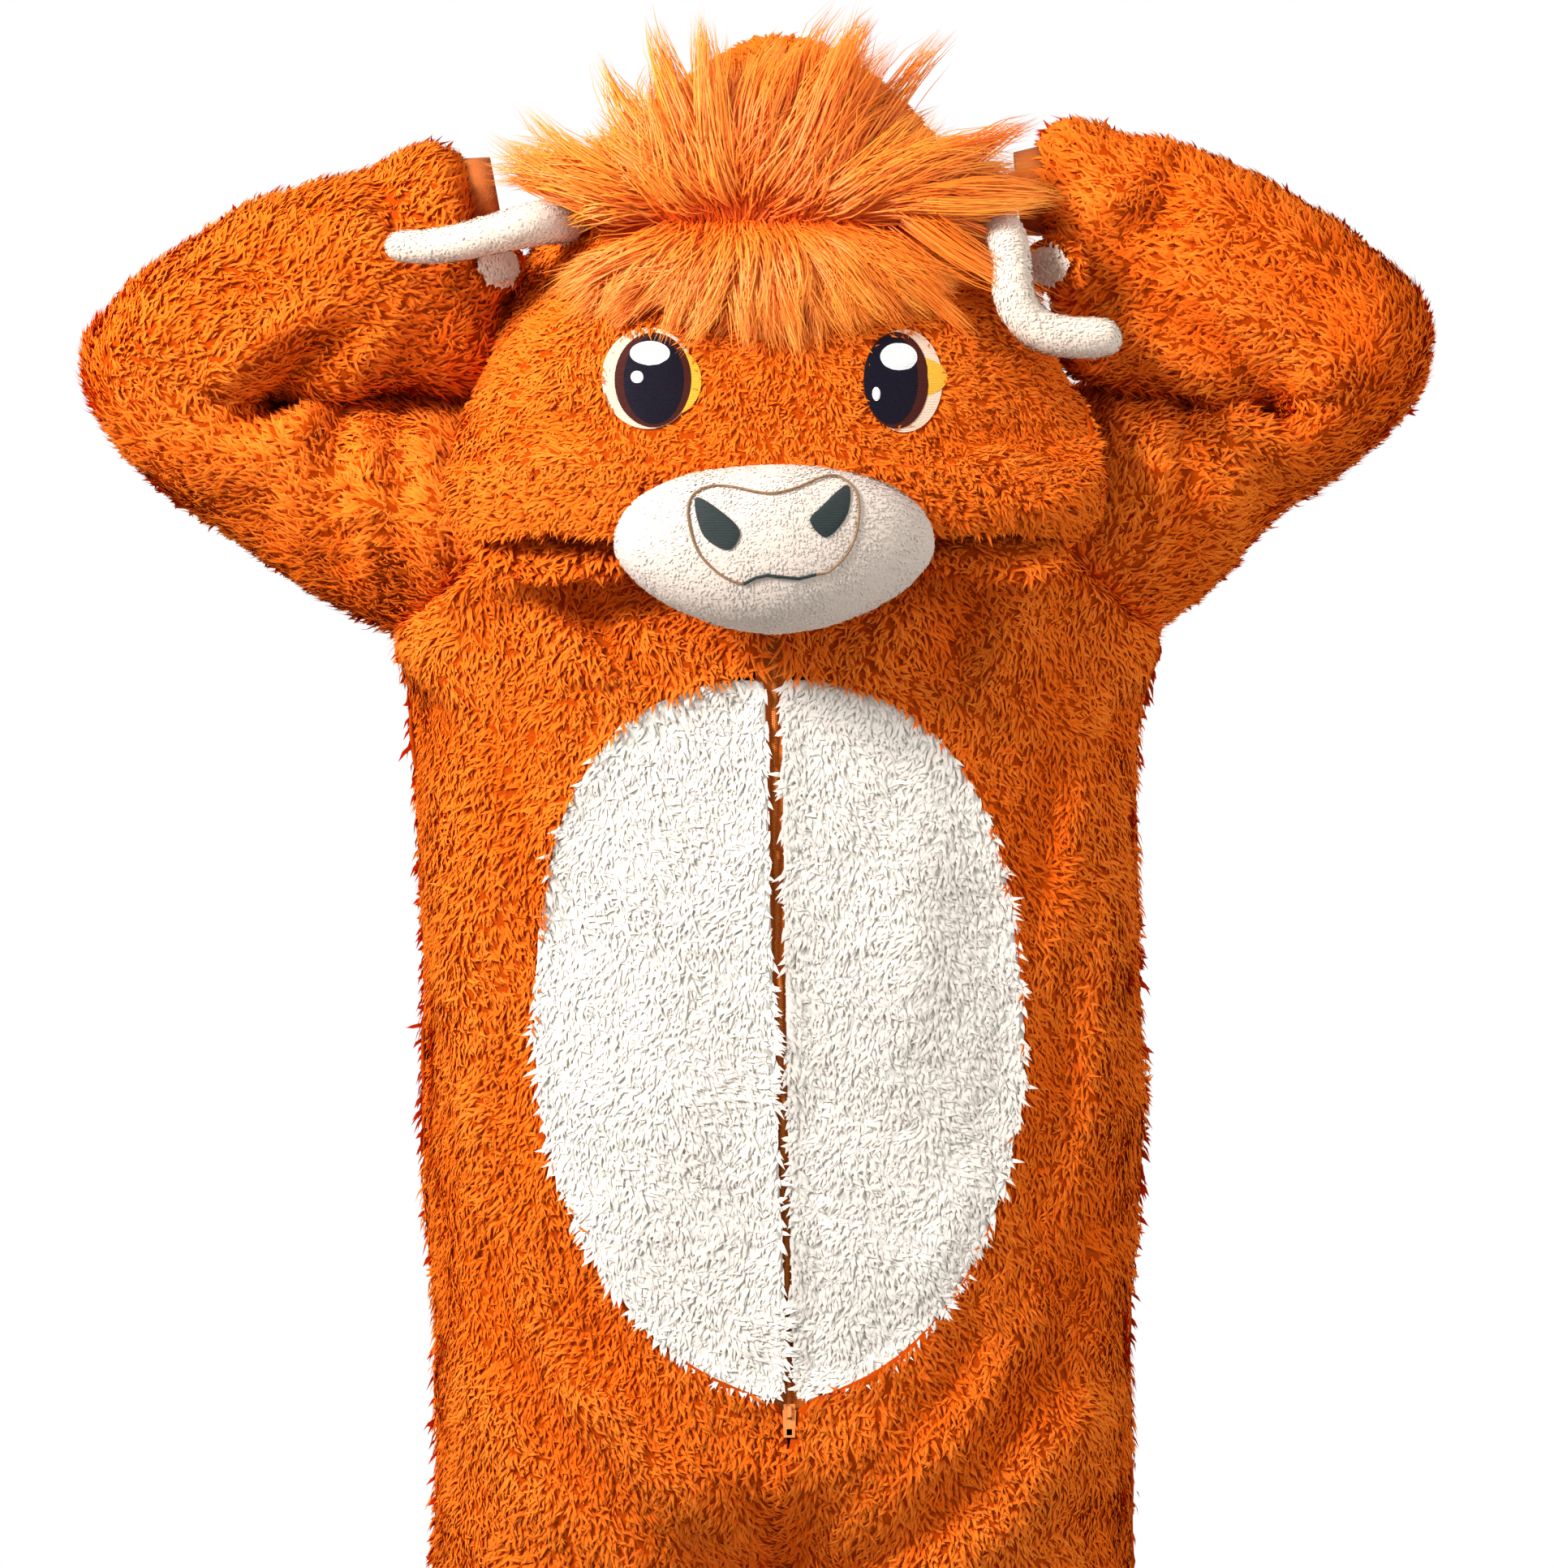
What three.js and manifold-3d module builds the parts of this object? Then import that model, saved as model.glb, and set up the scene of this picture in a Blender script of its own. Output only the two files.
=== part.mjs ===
// Highland cow onesie: a plush one-piece with a cow's-head hood, worn with the arms raised.
// Millimetres, +Z up, the front faces -Y, the origin lies between the shoulders at the base of the neck.
// Right is the wearer's right, which is -X.
import * as THREE from 'three';
import Module from 'manifold-3d';

const wasm = await Module();
wasm.setup();

// Driving dimensions
const PLUSH = 7;
const PULL_BACK = 0.17;
const NECK_Z = -62;
const ARMPIT_Z = -115;
const CROTCH_Z = -845;
const ANKLE_Z = -1240;
const CUFF_LENGTH = 70;
const WRIST_CUFF_LENGTH = 22;
const BOX = 0.8;
const BELLY = { z: -410, halfWidth: 181, up: 268, down: 262, upPower: 0.8, downPower: 1.04, steps: 10 };
const SIDES = { right: -1, left: 1 };

const COLOURS = {
  plush: 0xdc6a1e, cream: 0xf4eee2, horn: 0xe6dfd4, hair: 0xf57a22, knit: 0xd8641c, zip: 0xc04f14,
  pull: 0xf08c3c,
};
const root = new THREE.Group();

function addMesh(name, geometry, colour, roughness = 0.95) {
  const material = new THREE.MeshStandardMaterial({ color: COLOURS[colour], roughness, metalness: 0 });
  const mesh = new THREE.Mesh(geometry, material);
  mesh.name = name;
  root.add(mesh);
  return mesh;
}

const vec = (x, y, z) => new THREE.Vector3(x, y, z);
const lerp = THREE.MathUtils.lerp;
const smoothstep = THREE.MathUtils.smoothstep;
const bell = (x) => Math.exp(-x * x);

// Reads one column of a table whose rows fall in z, with smooth slopes between the rows.
function readTable(rows, column, z) {
  const last = rows.length - 1;
  if (z >= rows[0].z) return rows[0][column];
  if (z <= rows[last].z) return rows[last][column];
  let next = 1;
  while (rows[next].z > z) next += 1;
  const a = rows[next - 1];
  const b = rows[next];
  const before = rows[Math.max(next - 2, 0)];
  const after = rows[Math.min(next + 1, last)];
  const span = b.z - a.z;
  const slopeA = (b[column] - before[column]) / (b.z - before.z) * span;
  const slopeB = (after[column] - a[column]) / (after.z - a.z) * span;
  const t = (z - a.z) / span;
  const t2 = t * t;
  const t3 = t2 * t;
  return a[column] * (2 * t3 - 3 * t2 + 1) + slopeA * (t3 - 2 * t2 + t)
    + b[column] * (3 * t2 - 2 * t3) + slopeB * (t3 - t2);
}

// Cloth walls
// A sheet is a grid of points on the outside of the cloth. Neighbours at an edge share its normals, and
// each is drawn back a little from that edge, so that seams keep an even gap through the whole thickness.
const sheets = [];
const edgeNormals = new Map();
const edgeKey = (p) => [p.x, p.y, p.z].map((value) => Math.round(value * 100) + 0).join();

function addSheet(name, colour, grid, { closed = false, flip = false, pull = PULL_BACK } = {}) {
  sheets.push({ name, colour, grid, closed, flip, pull, thickness: PLUSH });
}

function gridNormals({ grid, closed, flip }) {
  const columns = grid[0].length;
  const normals = grid.map((row) => row.map(() => vec(0, 0, 0)));
  const spanColumns = closed ? columns : columns - 1;
  for (let i = 0; i < grid.length - 1; i += 1) {
    for (let j = 0; j < spanColumns; j += 1) {
      const k = (j + 1) % columns;
      const across = grid[i + 1][k].clone().sub(grid[i][j]);
      const other = grid[i + 1][j].clone().sub(grid[i][k]);
      const normal = across.cross(other);
      if (flip) normal.negate();
      for (const [r, c] of [[i, j], [i, k], [i + 1, j], [i + 1, k]]) normals[r][c].add(normal);
    }
  }
  return normals.map((row) => row.map((n) => n.normalize()));
}

function isEdge({ grid, closed }, i, j) {
  const endRow = i === 0 || i === grid.length - 1;
  return endRow || (!closed && (j === 0 || j === grid[0].length - 1));
}

// An edge point moves square to the edge and to the shared normal, so both sides of a seam part
// by the same gap.
function pulledBack({ grid, closed, normals, pull }, i, j, normal) {
  const columns = grid[0].length;
  const here = grid[i][j];
  const middle = Math.floor(columns / 2);
  const pinched = grid[i][0].distanceTo(grid[i][middle]) < 0.01;
  const move = vec(0, 0, 0);
  const step = (inside, tangent) => {
    const inwards = inside.clone().sub(here);
    const way = pinched ? inwards.clone() : tangent.clone().cross(normal);
    if (way.length() < 1e-6) return;
    const own = tangent.clone().cross(normals[i][j]);
    if (!pinched && own.dot(inwards) < 0) way.negate();
    move.addScaledVector(way.normalize(), pull);
  };
  if (i === 0 || i === grid.length - 1) {
    const inner = i === 0 ? 1 : grid.length - 2;
    const before = closed ? (j + columns - 1) % columns : Math.max(j - 1, 0);
    const after = closed ? (j + 1) % columns : Math.min(j + 1, columns - 1);
    step(grid[inner][pinched ? middle : j], grid[i][after].clone().sub(grid[i][before]));
  }
  if (!closed && !pinched && (j === 0 || j === columns - 1)) {
    const inner = j === 0 ? 1 : columns - 2;
    const above = grid[Math.max(i - 1, 0)][j];
    const below = grid[Math.min(i + 1, grid.length - 1)][j];
    step(grid[i][inner], below.clone().sub(above));
  }
  return here.clone().add(move);
}

// Builds a geometry from named vertices, dropping faces that have no area.
class Shell {
  constructor() {
    this.positions = [];
    this.index = [];
    this.seen = new Map();
  }

  vertex(p) {
    const key = `${p.x.toFixed(3)},${p.y.toFixed(3)},${p.z.toFixed(3)}`;
    if (!this.seen.has(key)) {
      this.seen.set(key, this.positions.length / 3);
      this.positions.push(p.x, p.y, p.z);
    }
    return this.seen.get(key);
  }

  triangle(a, b, c) {
    const [i, j, k] = [this.vertex(a), this.vertex(b), this.vertex(c)];
    if (i !== j && j !== k && k !== i) this.index.push(i, j, k);
  }

  quad(a, b, c, d) {
    this.triangle(a, b, c);
    this.triangle(a, c, d);
  }

  geometry() {
    const geometry = new THREE.BufferGeometry();
    geometry.setAttribute('position', new THREE.Float32BufferAttribute(this.positions, 3));
    geometry.setIndex(this.index);
    return geometry;
  }
}

function buildSheets() {
  for (const sheet of sheets) {
    sheet.normals = gridNormals(sheet);
    sheet.grid.forEach((row, i) => row.forEach((p, j) => {
      if (!isEdge(sheet, i, j)) return;
      const key = edgeKey(p);
      if (!edgeNormals.has(key)) edgeNormals.set(key, vec(0, 0, 0));
      edgeNormals.get(key).add(sheet.normals[i][j]);
    }));
  }
  for (const sheet of sheets) {
    const { grid, closed, flip, thickness } = sheet;
    const normals = grid.map((row, i) => row.map((p, j) => (
      isEdge(sheet, i, j) ? edgeNormals.get(edgeKey(p)).clone().normalize() : sheet.normals[i][j])));
    const outer = grid.map((row, i) => row.map((p, j) => (
      isEdge(sheet, i, j) ? pulledBack(sheet, i, j, normals[i][j]) : p.clone())));
    const inner = outer.map((row, i) => row.map((p, j) => (
      p.clone().addScaledVector(normals[i][j], -thickness))));
    const shell = new Shell();
    const columns = grid[0].length;
    const rows = grid.length;
    const face = (a, b, c, d) => (flip ? shell.quad(a, d, c, b) : shell.quad(a, b, c, d));
    const spans = closed ? columns : columns - 1;
    for (let i = 0; i < rows - 1; i += 1) {
      for (let j = 0; j < spans; j += 1) {
        const k = (j + 1) % columns;
        face(outer[i][j], outer[i][k], outer[i + 1][k], outer[i + 1][j]);
        face(inner[i + 1][j], inner[i + 1][k], inner[i][k], inner[i][j]);
      }
    }
    // Both sides of a seam split its end faces along the same diagonal.
    const rim = (a, b) => {
      const [oa, ob, ia, ib] = [outer[a[0]][a[1]], outer[b[0]][b[1]], inner[a[0]][a[1]], inner[b[0]][b[1]]];
      if (edgeKey(grid[a[0]][a[1]]) < edgeKey(grid[b[0]][b[1]])) face(ib, ob, oa, ia);
      else face(ia, ib, ob, oa);
    };
    for (let j = 0; j < spans; j += 1) {
      const k = (j + 1) % columns;
      rim([0, j], [0, k]);
      rim([rows - 1, k], [rows - 1, j]);
    }
    if (!closed) {
      for (let i = 0; i < rows - 1; i += 1) {
        rim([i + 1, 0], [i, 0]);
        rim([i, columns - 1], [i + 1, columns - 1]);
      }
    }
    addMesh(sheet.name, shell.geometry(), sheet.colour);
  }
}

// Solid lofts, for stuffed pieces
// Each section has a centre and two half-axes; the first and last sections close to a point.
function loft(sections, sides) {
  const rings = sections.map(({ centre, a, b }) => Array.from({ length: sides }, (_, k) => {
    const turn = k / sides * 2 * Math.PI;
    return centre.clone().addScaledVector(a, Math.cos(turn)).addScaledVector(b, Math.sin(turn));
  }));
  const shell = new Shell();
  for (let i = 0; i < rings.length - 1; i += 1) {
    for (let j = 0; j < sides; j += 1) {
      const k = (j + 1) % sides;
      shell.quad(rings[i][j], rings[i][k], rings[i + 1][k], rings[i + 1][j]);
    }
  }
  return shell.geometry();
}

// Body
// The torso is a soft box in section. Below the crotch each side closes into a leg.
const TORSO = [
  { z: -115, right: 287, left: 285, front: 140, back: 142 },
  { z: -152, right: 271, left: 273, front: 147, back: 147 },
  { z: -212, right: 267, left: 268, front: 152, back: 150 },
  { z: -362, right: 260, left: 266, front: 157, back: 152 },
  { z: -482, right: 260, left: 269, front: 159, back: 156 },
  { z: -662, right: 253, left: 261, front: 158, back: 160 },
  { z: -801, right: 252, left: 263, front: 155, back: 158 },
  { z: -845, right: 254, left: 262, front: 150, back: 155 },
];
const LEG = [
  { z: -740, inside: 0, outside: 258, deep: 140 },
  { z: -845, inside: 0, outside: 258, deep: 138 },
  { z: -940, inside: 12, outside: 244, deep: 122 },
  { z: -1090, inside: 32, outside: 218, deep: 100 },
  { z: -1190, inside: 42, outside: 200, deep: 86 },
  { z: -1240, inside: 64, outside: 176, deep: 58 },
];
// The zip line: where its middle lies, and how far apart the plush edges stand.
const ZIP = [
  { z: -62, middle: -3, gap: 6.5 },
  { z: -142, middle: -3, gap: 6.5 },
  { z: -400, middle: 2, gap: 5 },
  { z: -600, middle: 8, gap: 3.2 },
  { z: -650, middle: 9, gap: 3 },
  { z: -666, middle: 9, gap: 5.4 },
  { z: -693, middle: 9, gap: 5.4 },
  { z: -697, middle: 9, gap: 0 },
  { z: -800, middle: 3, gap: 0 },
  { z: -845, middle: 0, gap: 0 },
];
function zipValue(column, z) {
  const last = ZIP.length - 1;
  if (z >= ZIP[0].z) return ZIP[0][column];
  if (z <= ZIP[last].z) return ZIP[last][column];
  const next = ZIP.findIndex((row) => row.z <= z);
  const a = ZIP[next - 1];
  const b = ZIP[next];
  return lerp(a[column], b[column], (a.z - z) / (a.z - b.z));
}

// Drape folds of the body: a ridge (or a trough, where the height is negative) from one point to another.
const BODY_FOLDS = [
  { face: 'front', x0: -212, z0: -58, x1: -106, z1: -160, width: 19, height: 15 },
  { face: 'front', x0: -182, z0: -64, x1: -100, z1: -132, width: 14, height: -9 },
  { face: 'front', x0: -130, z0: -86, x1: -52, z1: -140, width: 15, height: 10 },
  { face: 'front', x0: 190, z0: -60, x1: 140, z1: -185, width: 20, height: 15 },
  { face: 'front', x0: 142, z0: -66, x1: 112, z1: -135, width: 13, height: -9 },
  { face: 'front', x0: 96, z0: -84, x1: 60, z1: -136, width: 15, height: 9 },
  { face: 'front', x0: -235, z0: -240, x1: -215, z1: -700, width: 26, height: 7 },
  { face: 'front', x0: 240, z0: -260, x1: 222, z1: -720, width: 26, height: 8 },
  { face: 'front', x0: 205, z0: -330, x1: 212, z1: -640, width: 18, height: -6 },
  { face: 'front', x0: -120, z0: -640, x1: -30, z1: -790, width: 24, height: 9 },
  { face: 'front', x0: 130, z0: -650, x1: 40, z1: -790, width: 24, height: 9 },
  { face: 'front', x0: 5, z0: -705, x1: 8, z1: -780, width: 26, height: 6 },
  { face: 'back', x0: -165, z0: -110, x1: -60, z1: -240, width: 24, height: 12 },
  { face: 'back', x0: 165, z0: -115, x1: 70, z1: -250, width: 24, height: 12 },
  { face: 'back', x0: -120, z0: -330, x1: -150, z1: -640, width: 28, height: 8 },
  { face: 'back', x0: 130, z0: -300, x1: 150, z1: -620, width: 28, height: 8 },
  { face: 'back', x0: -140, z0: -780, x1: -30, z1: -860, width: 26, height: 8 },
  { face: 'back', x0: 140, z0: -780, x1: 30, z1: -860, width: 26, height: 8 },
];
function bodyFold(face, x, z) {
  let height = 0;
  for (const fold of BODY_FOLDS) {
    if (fold.face !== face) continue;
    const dx = fold.x1 - fold.x0;
    const dz = fold.z1 - fold.z0;
    const length = Math.hypot(dx, dz);
    const t = ((x - fold.x0) * dx + (z - fold.z0) * dz) / (length * length);
    const off = ((x - fold.x0) * dz - (z - fold.z0) * dx) / length;
    const fade = smoothstep(t, -0.15, 0.2) * (1 - smoothstep(t, 0.7, 1.15));
    height += fold.height * fade * bell(off / fold.width);
  }
  const besideZip = face === 'front' ? smoothstep(Math.abs(x - zipValue('middle', z)), 22, 60) : 1;
  return height * lerp(1, besideZip, smoothstep(z, -740, -706));
}

function bodyPoint(side, u, z, folded = true) {
  const width = readTable(TORSO, side < 0 ? 'right' : 'left', z);
  const turn = Math.PI * u;
  const ahead = Math.cos(turn);
  const depth = ahead > 0 ? -readTable(TORSO, 'front', z) : readTable(TORSO, 'back', z);
  const torso = vec(
    side * width * Math.max(Math.sin(turn), 0) ** BOX + zipValue('middle', z) * Math.max(ahead, 0) ** 2,
    depth * Math.abs(ahead) ** BOX,
    z,
  );
  const outside = z > CROTCH_Z ? width : readTable(LEG, 'outside', z);
  const inside = z > CROTCH_Z ? 0 : readTable(LEG, 'inside', z);
  const middle = (inside + outside) / 2;
  const across = (outside - inside) / 2;
  const leg = vec(
    side * (middle - across * Math.cos(2 * turn)),
    -readTable(LEG, 'deep', z) * Math.sin(2 * turn),
    z,
  );
  const point = torso.lerp(leg, 1 - smoothstep(z, CROTCH_Z, -735));
  if (!folded) return point;
  const face = point.y < 0 ? 'front' : 'back';
  const steady = smoothstep(Math.abs(point.y), 20, 70);
  point.y += Math.sign(point.y) * bodyFold(face, point.x, z) * steady;
  return point;
}

// Half-way round from the centre front, the share at which the section reaches a given distance from it.
function shareAt(side, distance, z) {
  const width = readTable(TORSO, side < 0 ? 'right' : 'left', z);
  return Math.asin((distance / width) ** (1 / BOX)) / Math.PI;
}

// Shared outlines of the upper body
const YOKE_ROWS = 8;
const NECK_POINT = (side) => vec(92 * side, 10, 22);
function armhole(side) {
  const tip = bodyPoint(side, 0.5, ARMPIT_Z);
  return new THREE.CatmullRomCurve3([
    tip,
    vec(254 * side, -66, -88),
    vec(212 * side, -98, -44),
    vec(176 * side, -56, 2),
    vec(160 * side, 20, 30),
    vec(180 * side, 84, 8),
    vec(216 * side, 120, -34),
    vec(260 * side, 80, -84),
  ], true, 'centripetal');
}
const ARMHOLES = { right: armhole(-1), left: armhole(1) };

function neckline(side, front) {
  if (front) {
    return new THREE.CatmullRomCurve3([
      vec(zipValue('middle', NECK_Z) + side * zipValue('gap', NECK_Z), -124, NECK_Z),
      vec(50 * side, -112, -50), vec(84 * side, -60, -14), NECK_POINT(side),
    ]);
  }
  return new THREE.CatmullRomCurve3([vec(0, 92, 30), vec(52 * side, 76, 32), NECK_POINT(side)]);
}
const FRONT_CENTRE_ROWS = 1;
const BACK_CENTRE_ROWS = 4;

function innerEdge(side, front, row) {
  const centreRows = front ? FRONT_CENTRE_ROWS : BACK_CENTRE_ROWS;
  const curve = neckline(side, front);
  if (row <= centreRows) {
    const start = front ? bodyPoint(side, shareAt(side, zipValue('gap', ARMPIT_Z), ARMPIT_Z), ARMPIT_Z)
      : bodyPoint(side, 1, ARMPIT_Z);
    return start.lerp(curve.getPoint(0), row / centreRows);
  }
  return curve.getPoint((row - centreRows) / (YOKE_ROWS - centreRows));
}

function outerEdge(side, front, row) {
  const curve = side < 0 ? ARMHOLES.right : ARMHOLES.left;
  const share = row / YOKE_ROWS / 2;
  return curve.getPoint(front ? share : (1 - share) % 1);
}

// A yoke point lies between its four edges, as in a Coons patch.
function yokePoint(side, front, s, row) {
  const v = row / YOKE_ROWS;
  const start = front ? shareAt(side, zipValue('gap', ARMPIT_Z), ARMPIT_Z) : 1;
  const bottom = bodyPoint(side, lerp(start, 0.5, s), ARMPIT_Z, false);
  const top = innerEdge(side, front, YOKE_ROWS).lerp(outerEdge(side, front, YOKE_ROWS), s);
  const point = bottom.multiplyScalar(1 - v).addScaledVector(top, v);
  point.addScaledVector(innerEdge(side, front, row), 1 - s);
  point.addScaledVector(outerEdge(side, front, row), s);
  point.addScaledVector(innerEdge(side, front, 0), -(1 - s) * (1 - v));
  point.addScaledVector(outerEdge(side, front, 0), -s * (1 - v));
  point.addScaledVector(innerEdge(side, front, YOKE_ROWS), -(1 - s) * v);
  point.addScaledVector(outerEdge(side, front, YOKE_ROWS), -s * v);
  const inset = smoothstep(s, 0, 0.25) * (1 - smoothstep(s, 0.75, 1)) * smoothstep(1 - v, 0, 0.4);
  point.y += (front ? -1 : 1) * bodyFold(front ? 'front' : 'back', point.x, point.z) * inset;
  return point;
}

// The belly patch: an oval, squarer at its top, cut in two by the zip.
function bellyRow(step) {
  const turn = step / BELLY.steps * Math.PI;
  const rise = Math.cos(turn);
  const power = rise > 0 ? BELLY.upPower : BELLY.downPower;
  const z = BELLY.z + Math.sign(rise) * (rise > 0 ? BELLY.up : BELLY.down) * Math.abs(rise) ** power;
  const gap = zipValue('gap', z);
  return { z, edge: gap + (BELLY.halfWidth - gap) * Math.max(Math.sin(turn), 0) ** power, gap };
}

const BODY_ROWS = [{ z: ARMPIT_Z }];
for (let step = 0; step <= BELLY.steps; step += 1) BODY_ROWS.push(bellyRow(step));
for (const z of [-684, -693, -697, -725, -765, -800, -828, CROTCH_Z, -895, -985, -1080, -1170, ANKLE_Z]) {
  BODY_ROWS.push({ z });
}
const BODY_COLUMNS = 8;

for (const [label, side] of Object.entries(SIDES)) {
  for (const front of [true, false]) {
    const columns = BODY_COLUMNS;
    const grid = [];
    for (let row = YOKE_ROWS; row > 0; row -= 1) {
      grid.push(Array.from({ length: columns + 1 }, (_, j) => yokePoint(side, front, j / columns, row)));
    }
    for (const { z, edge } of BODY_ROWS) {
      const start = front ? shareAt(side, edge ?? zipValue('gap', z), z) : 1;
      grid.push(Array.from({ length: columns + 1 }, (_, j) => (
        bodyPoint(side, lerp(start, 0.5, j / columns), z))));
    }
    addSheet(`${front ? 'front' : 'back'}_${label}`, 'plush', grid, { flip: front === (side > 0) });
  }
  const belly = [];
  for (const { z, edge, gap } of BODY_ROWS.filter((row) => row.edge)) {
    const columns = 5;
    const from = shareAt(side, gap, z);
    const to = shareAt(side, edge, z);
    belly.push(Array.from({ length: columns + 1 }, (_, j) => (
      bodyPoint(side, lerp(from, to, j / columns), z))));
  }
  addSheet(`belly_${label}`, 'cream', belly, { flip: side > 0 });
}

// Ankle and wrist cuffs: ribbed knit tubes, with the ribs raised on the outside only.
function ribbedCuff(name, start, end, rStart, rEnd) {
  const ribs = 20;
  const ribHeight = 1.4;
  const wall = 3;
  const axis = end.clone().sub(start).normalize();
  const side = vec(0, 1, 0).addScaledVector(axis, -axis.y).normalize();
  const other = axis.clone().cross(side);
  const ring = (centre, radius, raised) => Array.from({ length: ribs * 2 }, (_, k) => {
    const turn = k / ribs * Math.PI;
    const r = radius + (raised && k % 2 === 0 ? ribHeight : 0);
    return centre.clone()
      .addScaledVector(side, r * Math.cos(turn))
      .addScaledVector(other, r * Math.sin(turn));
  });
  const outer = [ring(start, rStart, true), ring(end, rEnd, true)];
  const inner = [ring(start, rStart - wall, false), ring(end, rEnd - wall, false)];
  const shell = new Shell();
  for (let j = 0; j < ribs * 2; j += 1) {
    const k = (j + 1) % (ribs * 2);
    shell.quad(outer[0][j], outer[0][k], outer[1][k], outer[1][j]);
    shell.quad(inner[1][j], inner[1][k], inner[0][k], inner[0][j]);
    shell.quad(inner[0][j], inner[0][k], outer[0][k], outer[0][j]);
    shell.quad(outer[1][j], outer[1][k], inner[1][k], inner[1][j]);
  }
  addMesh(name, shell.geometry(), 'knit');
}
for (const [label, side] of Object.entries(SIDES)) {
  const top = vec(120 * side, 0, ANKLE_Z - 0.4);
  ribbedCuff(`cuff_ankle_${label}`, top, vec(120 * side, 0, ANKLE_Z - CUFF_LENGTH), 55, 50);
}

// Sleeves
// Each ring has an outer point (the armpit side, round the elbow to the top of the forearm), an
// inner point, and
// its middle and half-depth from front to back.
const SLEEVES = {
  right: [
    { ox: -336, oz: -88, ix: -226, iz: 54, y: 6, deep: 96 },
    { ox: -396, oz: -50, ix: -278, iz: 66, y: 2, deep: 90 },
    { ox: -450, oz: -12, ix: -322, iz: 60, y: -2, deep: 86 },
    { ox: -494, oz: 29, ix: -354, iz: 53, y: -8, deep: 84 },
    { ox: -520, oz: 74, ix: -374, iz: 52, y: -14, deep: 84 },
    { ox: -514, oz: 116, ix: -382, iz: 57, y: -20, deep: 84 },
    { ox: -482, oz: 149, ix: -372, iz: 60, y: -26, deep: 84 },
    { ox: -440, oz: 177, ix: -352, iz: 63.5, y: -30, deep: 82 },
    { ox: -396, oz: 204, ix: -320, iz: 67, y: -33, deep: 80 },
    { ox: -346, oz: 226, ix: -284, iz: 72, y: -36, deep: 78 },
    { ox: -296, oz: 237, ix: -250, iz: 79, y: -38, deep: 72 },
    { ox: -265, oz: 257, ix: -224, iz: 104, y: -40, deep: 66 },
    { ox: -246, oz: 254, ix: -216, iz: 150, y: -40, deep: 54 },
    { ox: -234, oz: 239, ix: -222, iz: 173, y: -40, deep: 36 },
  ],
  left: [
    { ox: 331, oz: -66, ix: 226, iz: 54, y: 6, deep: 96 },
    { ox: 372, oz: -27, ix: 270, iz: 63, y: 2, deep: 88 },
    { ox: 415, oz: 2, ix: 309, iz: 57, y: -2, deep: 84 },
    { ox: 450, oz: 32, ix: 339, iz: 49, y: -8, deep: 82 },
    { ox: 478, oz: 68, ix: 358, iz: 48, y: -14, deep: 82 },
    { ox: 491, oz: 106, ix: 366, iz: 53, y: -20, deep: 82 },
    { ox: 478, oz: 146, ix: 358, iz: 56.5, y: -26, deep: 82 },
    { ox: 446, oz: 177, ix: 340, iz: 60.5, y: -30, deep: 80 },
    { ox: 398, oz: 207, ix: 314, iz: 64.5, y: -33, deep: 78 },
    { ox: 346, oz: 234, ix: 284, iz: 70, y: -36, deep: 76 },
    { ox: 298, oz: 261, ix: 256, iz: 78, y: -38, deep: 72 },
    { ox: 252, oz: 258, ix: 231, iz: 102, y: -40, deep: 64 },
    { ox: 213, oz: 276, ix: 214, iz: 148, y: -40, deep: 54 },
    { ox: 196, oz: 249, ix: 203, iz: 182, y: -40, deep: 36 },
  ],
};
// Sleeve folds: the ring and the turn round it (0 outer, 0.25 front, 0.5 inner, 0.75 back) where
// each is highest.
const SLEEVE_FOLDS = [
  { ring: 1.2, turn: 0.2, rings: 0.5, turns: 0.16, height: 11 },
  { ring: 2.1, turn: 0.22, rings: 0.35, turns: 0.14, height: -9 },
  { ring: 2.9, turn: 0.24, rings: 0.45, turns: 0.12, height: 9 },
  { ring: 4.2, turn: 0.38, rings: 0.5, turns: 0.09, height: 10 },
  { ring: 5.4, turn: 0.33, rings: 0.4, turns: 0.1, height: -9 },
  { ring: 6.4, turn: 0.36, rings: 0.5, turns: 0.1, height: 9 },
  { ring: 8.2, turn: 0.28, rings: 0.5, turns: 0.12, height: -7 },
  { ring: 9.6, turn: 0.22, rings: 0.45, turns: 0.14, height: 8 },
  { ring: 11.2, turn: 0.22, rings: 0.4, turns: 0.2, height: -8 },
  { ring: 12.2, turn: 0.25, rings: 0.4, turns: 0.2, height: 7 },
  { ring: 1.4, turn: 0.72, rings: 0.5, turns: 0.12, height: 9 },
  { ring: 3.2, turn: 0.74, rings: 0.5, turns: 0.12, height: -8 },
  { ring: 5.2, turn: 0.66, rings: 0.5, turns: 0.1, height: 9 },
  { ring: 8.4, turn: 0.72, rings: 0.6, turns: 0.12, height: 8 },
];
const ROUND = 2 * YOKE_ROWS;

function sleeveFold(ring, turn) {
  let height = 0;
  for (const fold of SLEEVE_FOLDS) {
    height += fold.height * bell((ring - fold.ring) / fold.rings) * bell((turn - fold.turn) / fold.turns);
  }
  return height;
}

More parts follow.
